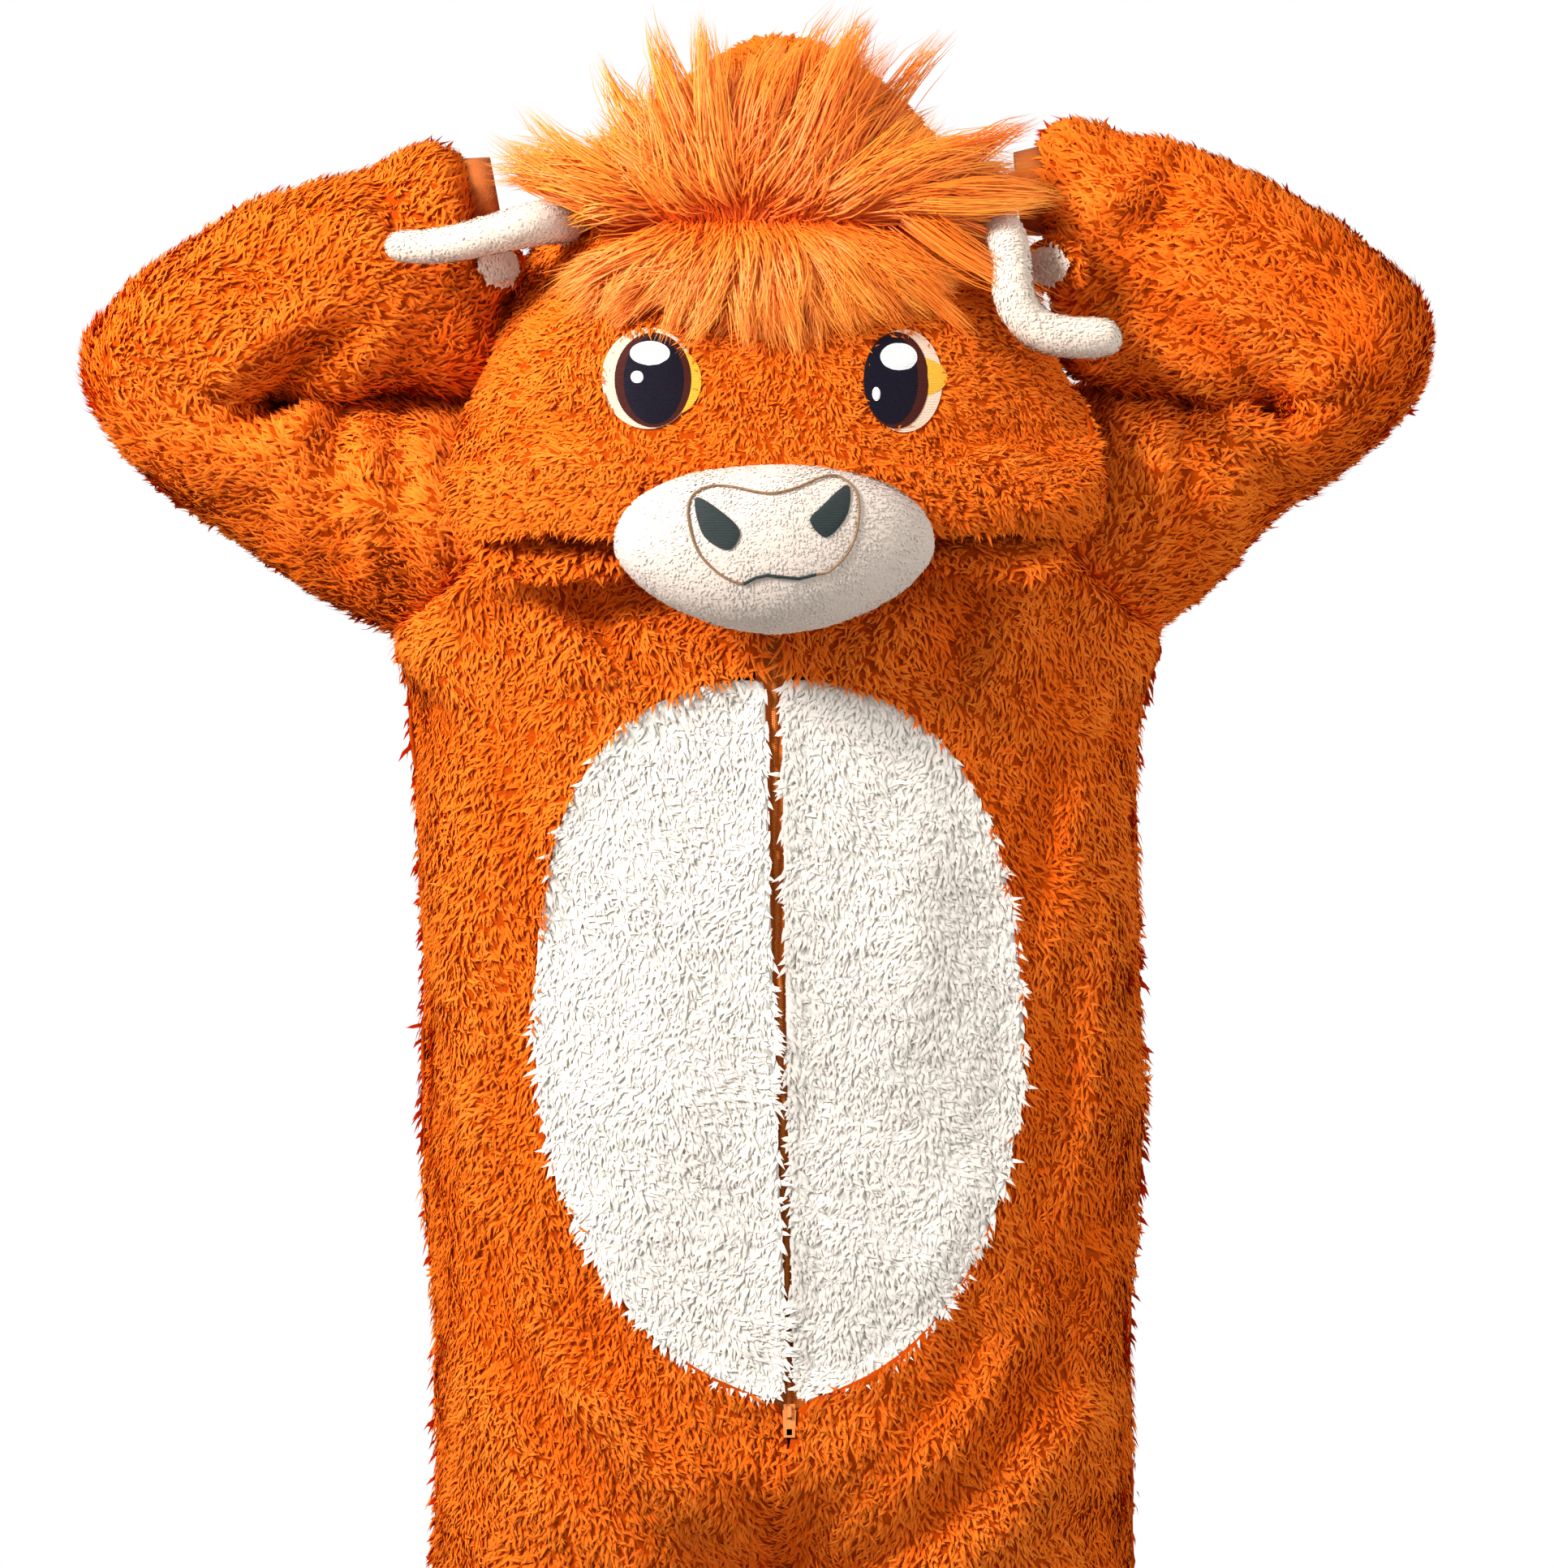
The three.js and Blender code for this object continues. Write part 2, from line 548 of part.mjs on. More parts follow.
for (const [label, side] of Object.entries(SIDES)) {
  const grid = [Array.from({ length: ROUND }, (_, k) => ARMHOLES[label].getPoint(k / ROUND))];
  SLEEVES[label].forEach((row, index) => {
    const outerPoint = vec(row.ox, row.y, row.oz);
    const innerPoint = vec(row.ix, row.y, row.iz);
    const centre = outerPoint.clone().add(innerPoint).multiplyScalar(0.5);
    const reach = outerPoint.sub(centre);
    grid.push(Array.from({ length: ROUND }, (_, k) => {
      const turn = k / ROUND;
      const angle = turn * 2 * Math.PI;
      const point = centre.clone().addScaledVector(reach, Math.cos(angle));
      point.y -= row.deep * Math.sin(angle);
      const outwards = point.clone().sub(centre).normalize();
      return point.addScaledVector(outwards, sleeveFold(index + 1, turn));
    }));
  });
  addSheet(`sleeve_${label}`, 'plush', grid, { closed: true, flip: side > 0 });
}
// The wrist cuff stands square on the sleeve's last ring.
for (const label of Object.keys(SIDES)) {
  const end = SLEEVES[label][SLEEVES[label].length - 1];
  const across = vec(end.ix - end.ox, 0, end.iz - end.oz).normalize();
  const along = label === 'right' ? vec(-across.z, 0, across.x) : vec(across.z, 0, -across.x);
  const centre = vec((end.ox + end.ix) / 2, end.y, (end.oz + end.iz) / 2).addScaledVector(along, 0.3);
  const hand = centre.clone().addScaledVector(along, WRIST_CUFF_LENGTH);
  ribbedCuff(`cuff_wrist_${label}`, centre, hand, 33, 30);
}

// Hood
// Each row has five places on its half: front centre (f), front corner (c), side (s), back corner
// (b) and back
// centre (k). The wearer's left half is a little narrower.
const HOOD_LEFT = 0.968;
const CROWN_X = 5;
const CROWN_TOP = vec(6, -22, 335);
const HOOD = {
  top: {
    fy: -62, fz: 319, cx: 33, cy: -54, cz: 319, sx: 43, sy: -20, sz: 319,
    bx: 32, by: 10, bz: 319, ky: 20, kz: 319,
  },
  high: {
    fy: -98, fz: 290, cx: 66, cy: -80, cz: 290, sx: 86, sy: -20, sz: 290,
    bx: 63, by: 44, bz: 290, ky: 62, kz: 290,
  },
  upper: {
    fy: -126, fz: 250, cx: 92, cy: -104, cz: 250, sx: 122, sy: -20, sz: 250,
    bx: 88, by: 72, bz: 250, ky: 94, kz: 250,
  },
  part: {
    fy: -150, fz: 187, cx: 130, cy: -124, cz: 187, sx: 168, sy: -24, sz: 190,
    bx: 116, by: 92, bz: 192, ky: 118, kz: 192,
  },
  brow: {
    fy: -178, fz: 110, cx: 172, cy: -142, cz: 108, sx: 199, sy: -36, sz: 134,
    bx: 130, by: 94, bz: 146, ky: 122, kz: 148,
  },
  cheek: {
    fy: -194, fz: 52, cx: 205, cy: -150, cz: 50, sx: 204, sy: -40, sz: 112,
    bx: 130, by: 86, bz: 122, ky: 114, kz: 120,
  },
  jaw: {
    fy: -205, fz: 8, cx: 231, cy: -152, cz: 0, sx: 203, sy: -42, sz: 101,
    bx: 122, by: 78, bz: 100, ky: 106, kz: 94,
  },
  lip: {
    fy: -210, fz: -32, cx: 237, cy: -148, cz: -38, sx: 200, sy: -42, sz: 92,
    bx: 112, by: 70, bz: 80, ky: 100, kz: 72,
  },
  chinLip: { fy: -166, fz: -46, cx: 216, cy: -154, cz: -66, sx: 200, sy: -42, sz: 92 },
  chinFold: {
    fy: -148, fz: -56, cx: 158, cy: -140, cz: -20, sx: 148, sy: -14, sz: 80,
    bx: 86, by: 76, bz: 52, ky: 94, kz: 50,
  },
};

function hoodCurve(row, half) {
  const left = row === HOOD.top || row === HOOD.high || row === HOOD.upper ? 1 : HOOD_LEFT;
  const shift = row.fz > 240 ? CROWN_X : 0;
  const at = (x, y, z, side) => vec(x * side * (side > 0 ? left : 1) + shift, y, z);
  const front = [at(row.sx, row.sy, row.sz, -1), at(row.cx, row.cy, row.cz, -1), vec(shift, row.fy, row.fz),
    at(row.cx, row.cy, row.cz, 1), at(row.sx, row.sy, row.sz, 1)];
  if (half === 'front') return new THREE.CatmullRomCurve3(front, false, 'centripetal');
  const back = [at(row.bx, row.by, row.bz, 1), vec(shift, row.ky, row.kz), at(row.bx, row.by, row.bz, -1)];
  return new THREE.CatmullRomCurve3([...front, ...back], true, 'centripetal');
}

// A point on the hood: t goes round from the wearer's right side (0) over the front (0.25) to the
// back (0.75).
function hoodPoint(rowName, t) {
  const row = HOOD[rowName];
  if (row.bx === undefined) return hoodCurve(row, 'front').getPoint(t * 2);
  return hoodCurve(row, 'round').getPoint(t);
}

// Between two named rows the hood is drawn smoothly through the rows beside them.
const HOOD_ORDER = ['top', 'high', 'upper', 'part', 'brow', 'cheek', 'jaw', 'lip'];
function hoodAt(level, t) {
  const points = HOOD_ORDER.map((name) => hoodPoint(name, t));
  const curve = new THREE.CatmullRomCurve3(points, false, 'centripetal');
  const point = curve.getPoint(level / (HOOD_ORDER.length - 1));
  point.add(turnedEdge(level, t));
  return point;
}

// The wearer's left end of the front edge is turned up into a thick roll.
function turnedEdge(level, t) {
  const roll = bell((level - 6.35) / 0.55) * smoothstep(t, 0.3, 0.36) * (1 - smoothstep(t, 0.43, 0.49));
  return vec(0.3, -1, 0.25).multiplyScalar(20 * roll);
}

const FACE_COLUMNS = 16;
const BACK_HOOD_COLUMNS = 8;
const CROWN_LEVELS = [0, 1, 2, 3];
const FACE_LEVELS = [3, 3.5, 4, 4.5, 5, 5.5, 6, 6.35, 6.7, 7];
const crownTurns = [];
for (let k = 0; k < FACE_COLUMNS; k += 1) crownTurns.push(k / FACE_COLUMNS / 2);
for (let k = 0; k < BACK_HOOD_COLUMNS; k += 1) crownTurns.push(0.5 + k / BACK_HOOD_COLUMNS / 2);

const crown = [crownTurns.map(() => CROWN_TOP.clone())];
for (const level of CROWN_LEVELS) crown.push(crownTurns.map((t) => hoodAt(level, t)));
addSheet('hood_crown', 'plush', crown, { closed: true, flip: true });

const face = FACE_LEVELS.map((level) => Array.from({ length: FACE_COLUMNS + 1 }, (_, k) => (
  hoodAt(level, k / FACE_COLUMNS / 2))));
addSheet('hood_face', 'plush', face, { flip: true });

const backTurn = (k) => (0.5 + k / BACK_HOOD_COLUMNS / 2) % 1;
const backNeck = [];
for (let row = YOKE_ROWS; row >= BACK_CENTRE_ROWS; row -= 1) backNeck.push(innerEdge(1, false, row));
for (let row = BACK_CENTRE_ROWS + 1; row <= YOKE_ROWS; row += 1) backNeck.push(innerEdge(-1, false, row));
const hoodBack = FACE_LEVELS.map((level) => (
  Array.from({ length: BACK_HOOD_COLUMNS + 1 }, (_, k) => hoodAt(level, backTurn(k)))));
hoodBack.push(Array.from({ length: BACK_HOOD_COLUMNS + 1 }, (_, k) => hoodPoint('chinFold', backTurn(k))));
hoodBack.push(backNeck);
addSheet('hood_back', 'plush', hoodBack, { flip: true });

const frontNeck = [];
for (let row = YOKE_ROWS; row >= FRONT_CENTRE_ROWS; row -= 1) frontNeck.push(innerEdge(-1, true, row));
for (let row = FRONT_CENTRE_ROWS; row <= YOKE_ROWS; row += 1) frontNeck.push(innerEdge(1, true, row));
const CHIN_COLUMNS = frontNeck.length - 1;
const chinRow = (name) => Array.from({ length: CHIN_COLUMNS + 1 }, (_, k) => (
  hoodPoint(name, k / CHIN_COLUMNS / 2)));
const chin = [chinRow('chinLip'), chinRow('chinFold'), frontNeck];
addSheet('hood_chin', 'plush', chin, { flip: true, pull: 0.4 });

buildSheets();

// Which way the hood faces at a point, from its slopes there.
function hoodNormal(level, t) {
  const down = hoodAt(level + 0.05, t).sub(hoodAt(level - 0.05, t));
  const round = hoodAt(level, t + 0.005).sub(hoodAt(level, t - 0.005));
  return down.cross(round).normalize();
}
const offHood = (level, t, away) => hoodAt(level, t).addScaledVector(hoodNormal(level, t), away);

// Muzzle: a stuffed pad whose back follows the face's curve and whose front is domed.
const MUZZLE = {
  x: -2, z: -48, halfWidth: 120, up: 60, down: 67, upPower: 0.9, downPower: 1.16,
  backY: -210.4, sideSweep: 14,
};
const MUZZLE_RINGS = [
  { scale: 0, forward: 0 }, { scale: 0.55, forward: 0 }, { scale: 0.93, forward: 0 },
  { scale: 1, forward: 9 },
  { scale: 0.98, forward: 24 }, { scale: 0.86, forward: 42 }, { scale: 0.62, forward: 54 },
  { scale: 0.32, forward: 60 }, { scale: 0, forward: 62 },
];
const MUZZLE_SIDES = 24;
const muzzleRings = MUZZLE_RINGS.map(({ scale, forward }) => Array.from({ length: MUZZLE_SIDES }, (_, k) => {
  const angle = k / MUZZLE_SIDES * 2 * Math.PI;
  const rise = Math.sin(angle);
  const power = rise > 0 ? MUZZLE.upPower : MUZZLE.downPower;
  const height = Math.sign(rise) * (rise > 0 ? MUZZLE.up : MUZZLE.down) * Math.abs(rise) ** power;
  const across = MUZZLE.halfWidth * Math.sign(Math.cos(angle)) * Math.abs(Math.cos(angle)) ** power;
  const x = across * scale;
  const y = MUZZLE.backY - forward + MUZZLE.sideSweep * (x / MUZZLE.halfWidth) ** 2;
  return vec(MUZZLE.x + x, y, MUZZLE.z + height * scale);
}));
const muzzleShell = new Shell();
for (let i = 0; i < muzzleRings.length - 1; i += 1) {
  for (let j = 0; j < MUZZLE_SIDES; j += 1) {
    const k = (j + 1) % MUZZLE_SIDES;
    muzzleShell.quad(muzzleRings[i][j], muzzleRings[i][k], muzzleRings[i + 1][k], muzzleRings[i + 1][j]);
  }
}
addMesh('muzzle', muzzleShell.geometry(), 'cream');

// Horns: stuffed tubes with rounded tips, rooted at the front corners of the hair seam.
const HORNS = {
  right: [
    { x: -166, y: -130, z: 190, r: 19 }, { x: -184, y: -145, z: 186, r: 18 },
    { x: -206, y: -151, z: 180, r: 16.5 },
    { x: -232, y: -153, z: 173, r: 15.5 }, { x: -258, y: -150, z: 170, r: 14.5 },
    { x: -274, y: -148, z: 171, r: 13.5 },
  ],
  left: [
    { x: 169, y: -140, z: 179, r: 16.5 }, { x: 171, y: -156, z: 157, r: 17 },
    { x: 171, y: -164, z: 134, r: 18 },
    { x: 184, y: -166, z: 111, r: 18 }, { x: 210, y: -168, z: 103, r: 18 },
    { x: 236, y: -167, z: 104, r: 17 },
  ],
};
const HORN_SIDES = 10;
for (const [label, side] of Object.entries(SIDES)) {
  const rootTurn = side < 0 ? 3 / 32 : 13 / 32;
  const start = offHood(3, rootTurn, 0.4);
  const path = [start, offHood(3, rootTurn, side < 0 ? 9 : 18)];
  const radii = [19, 19.5];
  for (const row of HORNS[label]) {
    path.push(vec(row.x, row.y, row.z));
    radii.push(row.r);
  }
  const sections = [];
  path.forEach((centre, i) => {
    const along = path[Math.min(i + 1, path.length - 1)].clone().sub(path[Math.max(i - 1, 0)]).normalize();
    const a = vec(0, 0, 1).addScaledVector(along, -along.z).normalize();
    const b = along.clone().cross(a);
    if (i === 0) sections.push({ centre, a: vec(0, 0, 0), b: vec(0, 0, 0) });
    sections.push({ centre, a: a.clone().multiplyScalar(radii[i]), b: b.clone().multiplyScalar(radii[i]) });
    if (i < path.length - 1) return;
    for (const lean of [30, 60, 90]) {
      const turn = THREE.MathUtils.degToRad(lean);
      const r = lean === 90 ? 0 : radii[i] * Math.cos(turn);
      const tip = centre.clone().addScaledVector(along, radii[i] * Math.sin(turn));
      sections.push({ centre: tip, a: a.clone().multiplyScalar(r), b: b.clone().multiplyScalar(r) });
    }
  });
  addMesh(`horn_${label}`, loft(sections, HORN_SIDES), 'horn');
}

// Ears: flat plush leaves that stand out behind the horns, each with a cream leaf on its front.
const EARS = {
  right: { level: 3.5, turn: 1 / 16, tip: vec(-232, -134, 158) },
  left: { level: 3.5, turn: 7 / 16, tip: vec(226, -130, 160) },
};
const EAR_ROWS = [
  { along: 0, half: 14, thick: 5 }, { along: 0.2, half: 20, thick: 6 },
  { along: 0.45, half: 25, thick: 6.5 },
  { along: 0.7, half: 22, thick: 6 }, { along: 0.9, half: 12, thick: 5 }, { along: 1, half: 0, thick: 0 },
];
const INNER_EAR = { start: 0.16, end: 0.86, share: 0.66, thick: 1.6, clear: 0.5 };
for (const [label, { level, turn, tip }] of Object.entries(EARS)) {
  const start = offHood(level, turn, 7);
  const along = tip.clone().sub(start);
  const ahead = vec(0, -1, 0).addScaledVector(along, along.y / along.lengthSq()).normalize();
  const up = along.clone().normalize().cross(ahead).negate();
  const section = (share, half, thick, forward = 0) => ({
    centre: start.clone().addScaledVector(along, share).addScaledVector(ahead, forward),
    a: up.clone().multiplyScalar(half),
    b: along.clone().normalize().cross(up).multiplyScalar(thick),
  });
  const outer = [section(0, 0, 0), ...EAR_ROWS.map((row) => section(row.along, row.half, row.thick))];
  addMesh(`ear_${label}`, loft(outer, 10), 'plush');
  const leaf = EAR_ROWS.map((row, i) => {
    const share = lerp(INNER_EAR.start, INNER_EAR.end, row.along);
    const ends = i === 0 || i === EAR_ROWS.length - 1;
    const lift = 6.5 + INNER_EAR.clear + INNER_EAR.thick;
    return section(share, ends ? 0 : row.half * INNER_EAR.share, ends ? 0 : INNER_EAR.thick, lift);
  });
  addMesh(`ear_inner_${label}`, loft(leaf, 8), 'cream');
}

// Hair: long-pile locks, fused at their roots in a backing strip on each side of the hair seam.
const LOCK_STEPS = 3;
const HAIR_FROM = 0.138;
const HAIR_TO = 0.362;
const STRIP = { columns: 10, lift: 1.9, thick: 5 };
function asManifold(geometry) {
  const mesh = new wasm.Mesh({
    numProp: 3,
    vertProperties: new Float32Array(geometry.attributes.position.array),
    triVerts: new Uint32Array(geometry.index.array),
  });
  return new wasm.Manifold(mesh);
}
function fromManifold(solid) {
  const { vertProperties, triVerts } = solid.getMesh();
  const geometry = new THREE.BufferGeometry();
  geometry.setAttribute('position', new THREE.Float32BufferAttribute(vertProperties, 3));
  geometry.setIndex([...triVerts]);
  return geometry;
}
function lock(start, middle, tip, radius) {
  const curve = new THREE.QuadraticBezierCurve3(start, middle, tip);
  const sections = [];
  for (let i = 0; i <= LOCK_STEPS; i += 1) {
    const t = i / LOCK_STEPS;
    const centre = curve.getPoint(t);
    const along = curve.getTangent(t);
    const leaning = along.x + 0.3 * along.y + 0.2 * along.z;
    const a = vec(1, 0.3, 0.2).addScaledVector(along, -leaning).normalize();
    const b = along.clone().cross(a);
    const r = i === LOCK_STEPS ? 0 : radius * (1 - t ** 1.6) ** 0.8;
    if (i === 0) sections.push({ centre, a: vec(0, 0, 0), b: vec(0, 0, 0) });
    sections.push({ centre, a: a.multiplyScalar(r * 1.3), b: b.multiplyScalar(r * 0.8) });
  }
  return loft(sections, 3);
}
function strip(levelTop, levelLow) {
  const outer = [levelTop, levelLow].map((level) => Array.from({ length: STRIP.columns + 1 }, (_, k) => (
    offHood(level, lerp(HAIR_FROM, HAIR_TO, k / STRIP.columns), STRIP.lift + STRIP.thick))));
  const inner = [levelTop, levelLow].map((level) => Array.from({ length: STRIP.columns + 1 }, (_, k) => (
    offHood(level, lerp(HAIR_FROM, HAIR_TO, k / STRIP.columns), STRIP.lift))));
  const shell = new Shell();
  for (let j = 0; j < STRIP.columns; j += 1) {
    shell.quad(outer[1][j], outer[1][j + 1], outer[0][j + 1], outer[0][j]);
    shell.quad(inner[0][j], inner[0][j + 1], inner[1][j + 1], inner[1][j]);
    shell.quad(outer[0][j], outer[0][j + 1], inner[0][j + 1], inner[0][j]);
    shell.quad(inner[1][j], inner[1][j + 1], outer[1][j + 1], outer[1][j]);
  }
  const last = STRIP.columns;
  shell.quad(inner[0][0], inner[1][0], outer[1][0], outer[0][0]);
  shell.quad(outer[0][last], outer[1][last], inner[1][last], inner[0][last]);
  return shell.geometry();
}
// A steady spread of small differences from lock to lock.
const vary = (k, salt) => ((k * 0.618034 + salt * 0.377) % 1) * 2 - 1;
const TOPKNOT = { locks: 36, centreX: 4, halfFan: 200, topZ: 352, sideDrop: 118, level: 2.84 };
const FRINGE = { locks: 26, level: 3.16 };
const topknot = [strip(2.7, 2.95)];
for (let k = 0; k < TOPKNOT.locks; k += 1) {
  const across = (k + 0.5) / TOPKNOT.locks * 2 - 1;
  const layer = k % 3;
  const t = lerp(HAIR_FROM + 0.01, HAIR_TO - 0.01, (across + 1) / 2);
  const start = offHood(TOPKNOT.level + 0.06 * (layer - 1), t, STRIP.lift + STRIP.thick / 2);
  const tip = vec(
    TOPKNOT.centreX + across * (TOPKNOT.halfFan - 26 * layer) + 9 * vary(k, 1),
    -70 - 26 * layer - 30 * Math.abs(across) + 8 * vary(k, 2),
    TOPKNOT.topZ - 34 * layer - TOPKNOT.sideDrop * Math.abs(across) ** 2.2 + 10 * vary(k, 3),
  );
  const middle = start.clone().lerp(tip, 0.5);
  middle.y = Math.min(middle.y, -150) - 34 - 14 * layer;
  middle.z += 14;
  topknot.push(lock(start, middle, tip, 7.5));
}
const fringe = [strip(3.06, 3.3)];
for (let k = 0; k < FRINGE.locks; k += 1) {
  const across = (k + 0.5) / FRINGE.locks * 2 - 1;
  const t = lerp(HAIR_FROM + 0.01, HAIR_TO - 0.01, (across + 1) / 2);
  const spread = 0.25 + across * (across > 0 ? 0.095 : 0.12);
  const start = offHood(FRINGE.level, t, STRIP.lift + STRIP.thick / 2);
  const reach = 4.14 - 0.12 * across ** 2 + 0.16 * vary(k, 1);
  const middle = offHood(3.62, (t + spread) / 2, 26 + 6 * vary(k, 2));
  const tip = offHood(reach, spread, 13 + 4 * vary(k, 3));
  fringe.push(lock(start, middle, tip, 6.5));
}
for (const [name, pieces] of [['hair_topknot', topknot], ['hair_fringe', fringe]]) {
  const solids = pieces.map(asManifold);
  addMesh(name, fromManifold(solids.reduce((whole, piece) => whole.add(piece))), 'hair');
}

// Zip: two tapes behind the panels' edges, a coil chain between them, and a slider with a pull tab
// near each end.
const TAPE = { width: 13, thick: 0.9, behind: PLUSH + 1.2 };
const CHAIN = { half: 1.9, thick: 2.2 };
const zipFront = (z) => (z > ARMPIT_Z
  ? -lerp(140, 124, (z - ARMPIT_Z) / (NECK_Z - ARMPIT_Z))
  : -readTable(TORSO, 'front', z));
const ZIP_END = -691;
const zipBodyRows = BODY_ROWS.map((row) => row.z).filter((z) => z < ARMPIT_Z && z > ZIP_END);
const zipRows = [NECK_Z - 3, -90, ARMPIT_Z, ...zipBodyRows, ZIP_END];
function zipStrip(from, to, depth, thick) {
  const at = (z, x, y) => vec(zipValue('middle', z) + x, zipFront(z) + y, z);
  const shell = new Shell();
  const ring = (z) => [
    at(z, from, depth), at(z, to, depth),
    at(z, to, depth + thick), at(z, from, depth + thick),
  ];
  const rings = zipRows.map(ring);
  for (let i = 0; i < rings.length - 1; i += 1) {
    for (let j = 0; j < 4; j += 1) {
      const k = (j + 1) % 4;
      shell.quad(rings[i + 1][j], rings[i + 1][k], rings[i][k], rings[i][j]);
    }
  }
  const [first, last] = [rings[0], rings[rings.length - 1]];
  shell.quad(first[0], first[1], first[2], first[3]);
  shell.quad(last[3], last[2], last[1], last[0]);
  return shell.geometry();
}
addMesh('zip_tape_right', zipStrip(-TAPE.width, -0.16, TAPE.behind, TAPE.thick), 'zip');
addMesh('zip_tape_left', zipStrip(0.16, TAPE.width, TAPE.behind, TAPE.thick), 'zip');
const chainDepth = TAPE.behind - 0.3 - CHAIN.thick;
addMesh('zip_chain', zipStrip(-CHAIN.half, CHAIN.half, chainDepth, CHAIN.thick), 'zip', 0.5);

const SLIDER = { half: 4.2, height: 11, thick: 2.4, bridge: 1.5, reach: 7.5, strand: 1.3, holeHalf: 2.7 };
const PULL = {
  length: 20, topHalf: 5, lowHalf: 4.1, thick: 1.4, bar: 0.9, rim: 0.3, clear: 1.7,
  window: 4.8, windowHalf: 2.1,
};
function box(x0, x1, y0, y1, z0, z1) {
  const geometry = new THREE.BoxGeometry(x1 - x0, y1 - y0, z1 - z0);
  geometry.translate((x0 + x1) / 2, (y0 + y1) / 2, (z0 + z1) / 2);
  const shell = new Shell();
  const position = geometry.attributes.position;
  const corner = (i) => vec(position.getX(i), position.getY(i), position.getZ(i));
  for (let i = 0; i < geometry.index.count; i += 3) {
    shell.triangle(...[0, 1, 2].map((n) => corner(geometry.index.getX(i + n))));
  }
  return asManifold(shell.geometry());
}
function slider(name, z) {
  const x = zipValue('middle', z);
  const half = SLIDER.height / 2;
  const back = Math.min(zipFront(z - half), zipFront(z + half)) + TAPE.behind - 0.6 - CHAIN.thick;
  const front = back - SLIDER.thick;
  const outer = SLIDER.holeHalf + SLIDER.strand;
  const body = box(x - SLIDER.half, x + SLIDER.half, front, back, z - half, z + half)
    .add(box(x - SLIDER.bridge, x + SLIDER.bridge, front - SLIDER.reach, front + 0.5, z - outer, z + outer))
    .subtract(box(
      x - 5, x + 5, front - SLIDER.reach + SLIDER.strand, front,
      z - SLIDER.holeHalf, z + SLIDER.holeHalf,
    ));
  addMesh(`zip_slider_${name}`, fromManifold(body), 'pull', 0.5);

  const pivotY = front - SLIDER.reach + SLIDER.strand + PULL.clear;
  const shape = new THREE.Shape();
  const top = PULL.bar + PULL.rim;
  shape.moveTo(x - PULL.topHalf, z + top);
  shape.lineTo(x - PULL.lowHalf, z + top - PULL.length);
  shape.lineTo(x + PULL.lowHalf, z + top - PULL.length);
  shape.lineTo(x + PULL.topHalf, z + top);
  const slot = (z0, z1, half) => {
    const hole = new THREE.Path();
    hole.moveTo(x - half, z + z0);
    hole.lineTo(x - half, z + z1);
    hole.lineTo(x + half, z + z1);
    hole.lineTo(x + half, z + z0);
    shape.holes.push(hole);
  };
  slot(-PULL.bar - PULL.window, -PULL.bar, PULL.windowHalf);
  slot(top - PULL.length + 1.6, top - PULL.length + 6.2, 2);
  const plate = new THREE.ExtrudeGeometry(shape, { depth: PULL.thick, bevelEnabled: false });
  plate.rotateX(Math.PI / 2);
  plate.translate(0, pivotY + PULL.thick / 2, 0);
  addMesh(`zip_pull_${name}`, plate, 'pull', 0.5);
}
slider('lower', -679.5);
slider('upper', -79);

export default root;
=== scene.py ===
import math

import bmesh
import bpy
import numpy as np
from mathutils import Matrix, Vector
from mathutils.bvhtree import BVHTree
from mathutils.kdtree import KDTree


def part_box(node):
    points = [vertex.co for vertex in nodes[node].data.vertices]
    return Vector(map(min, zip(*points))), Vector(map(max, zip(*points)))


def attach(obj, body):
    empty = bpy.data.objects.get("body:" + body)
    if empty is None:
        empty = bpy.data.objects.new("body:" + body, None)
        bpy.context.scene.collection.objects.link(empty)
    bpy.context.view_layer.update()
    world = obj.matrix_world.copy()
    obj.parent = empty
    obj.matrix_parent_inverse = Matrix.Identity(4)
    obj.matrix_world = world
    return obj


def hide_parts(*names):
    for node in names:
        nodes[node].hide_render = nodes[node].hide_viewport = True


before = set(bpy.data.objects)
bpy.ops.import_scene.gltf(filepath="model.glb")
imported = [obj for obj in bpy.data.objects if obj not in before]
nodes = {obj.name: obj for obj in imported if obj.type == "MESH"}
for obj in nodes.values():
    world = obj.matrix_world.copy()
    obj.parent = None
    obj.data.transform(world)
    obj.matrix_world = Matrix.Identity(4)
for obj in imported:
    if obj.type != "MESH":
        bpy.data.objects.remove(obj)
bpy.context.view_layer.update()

# View and light
# The photo is a studio shot on white: a long lens square to the front, a large soft light from the upper
# left, and a weak one from the right. The wall behind is lit white and the rest of the room is dimmer.
VIEW_CENTRE = Vector((0, 0, -0.2216))
VIEW_HEIGHT = 1.1592
DISTANCE = 12.0
camera = bpy.data.objects.new("camera", bpy.data.cameras.new("camera"))
camera.location = VIEW_CENTRE + Vector((0, -DISTANCE, 0))
camera.rotation_euler = (math.pi / 2, 0, 0)
camera.data.lens = camera.data.sensor_width * DISTANCE / VIEW_HEIGHT
camera.data.clip_end = 5 * DISTANCE
bpy.context.scene.collection.objects.link(camera)
bpy.context.scene.camera = camera
bpy.context.scene.view_settings.view_transform = "Standard"

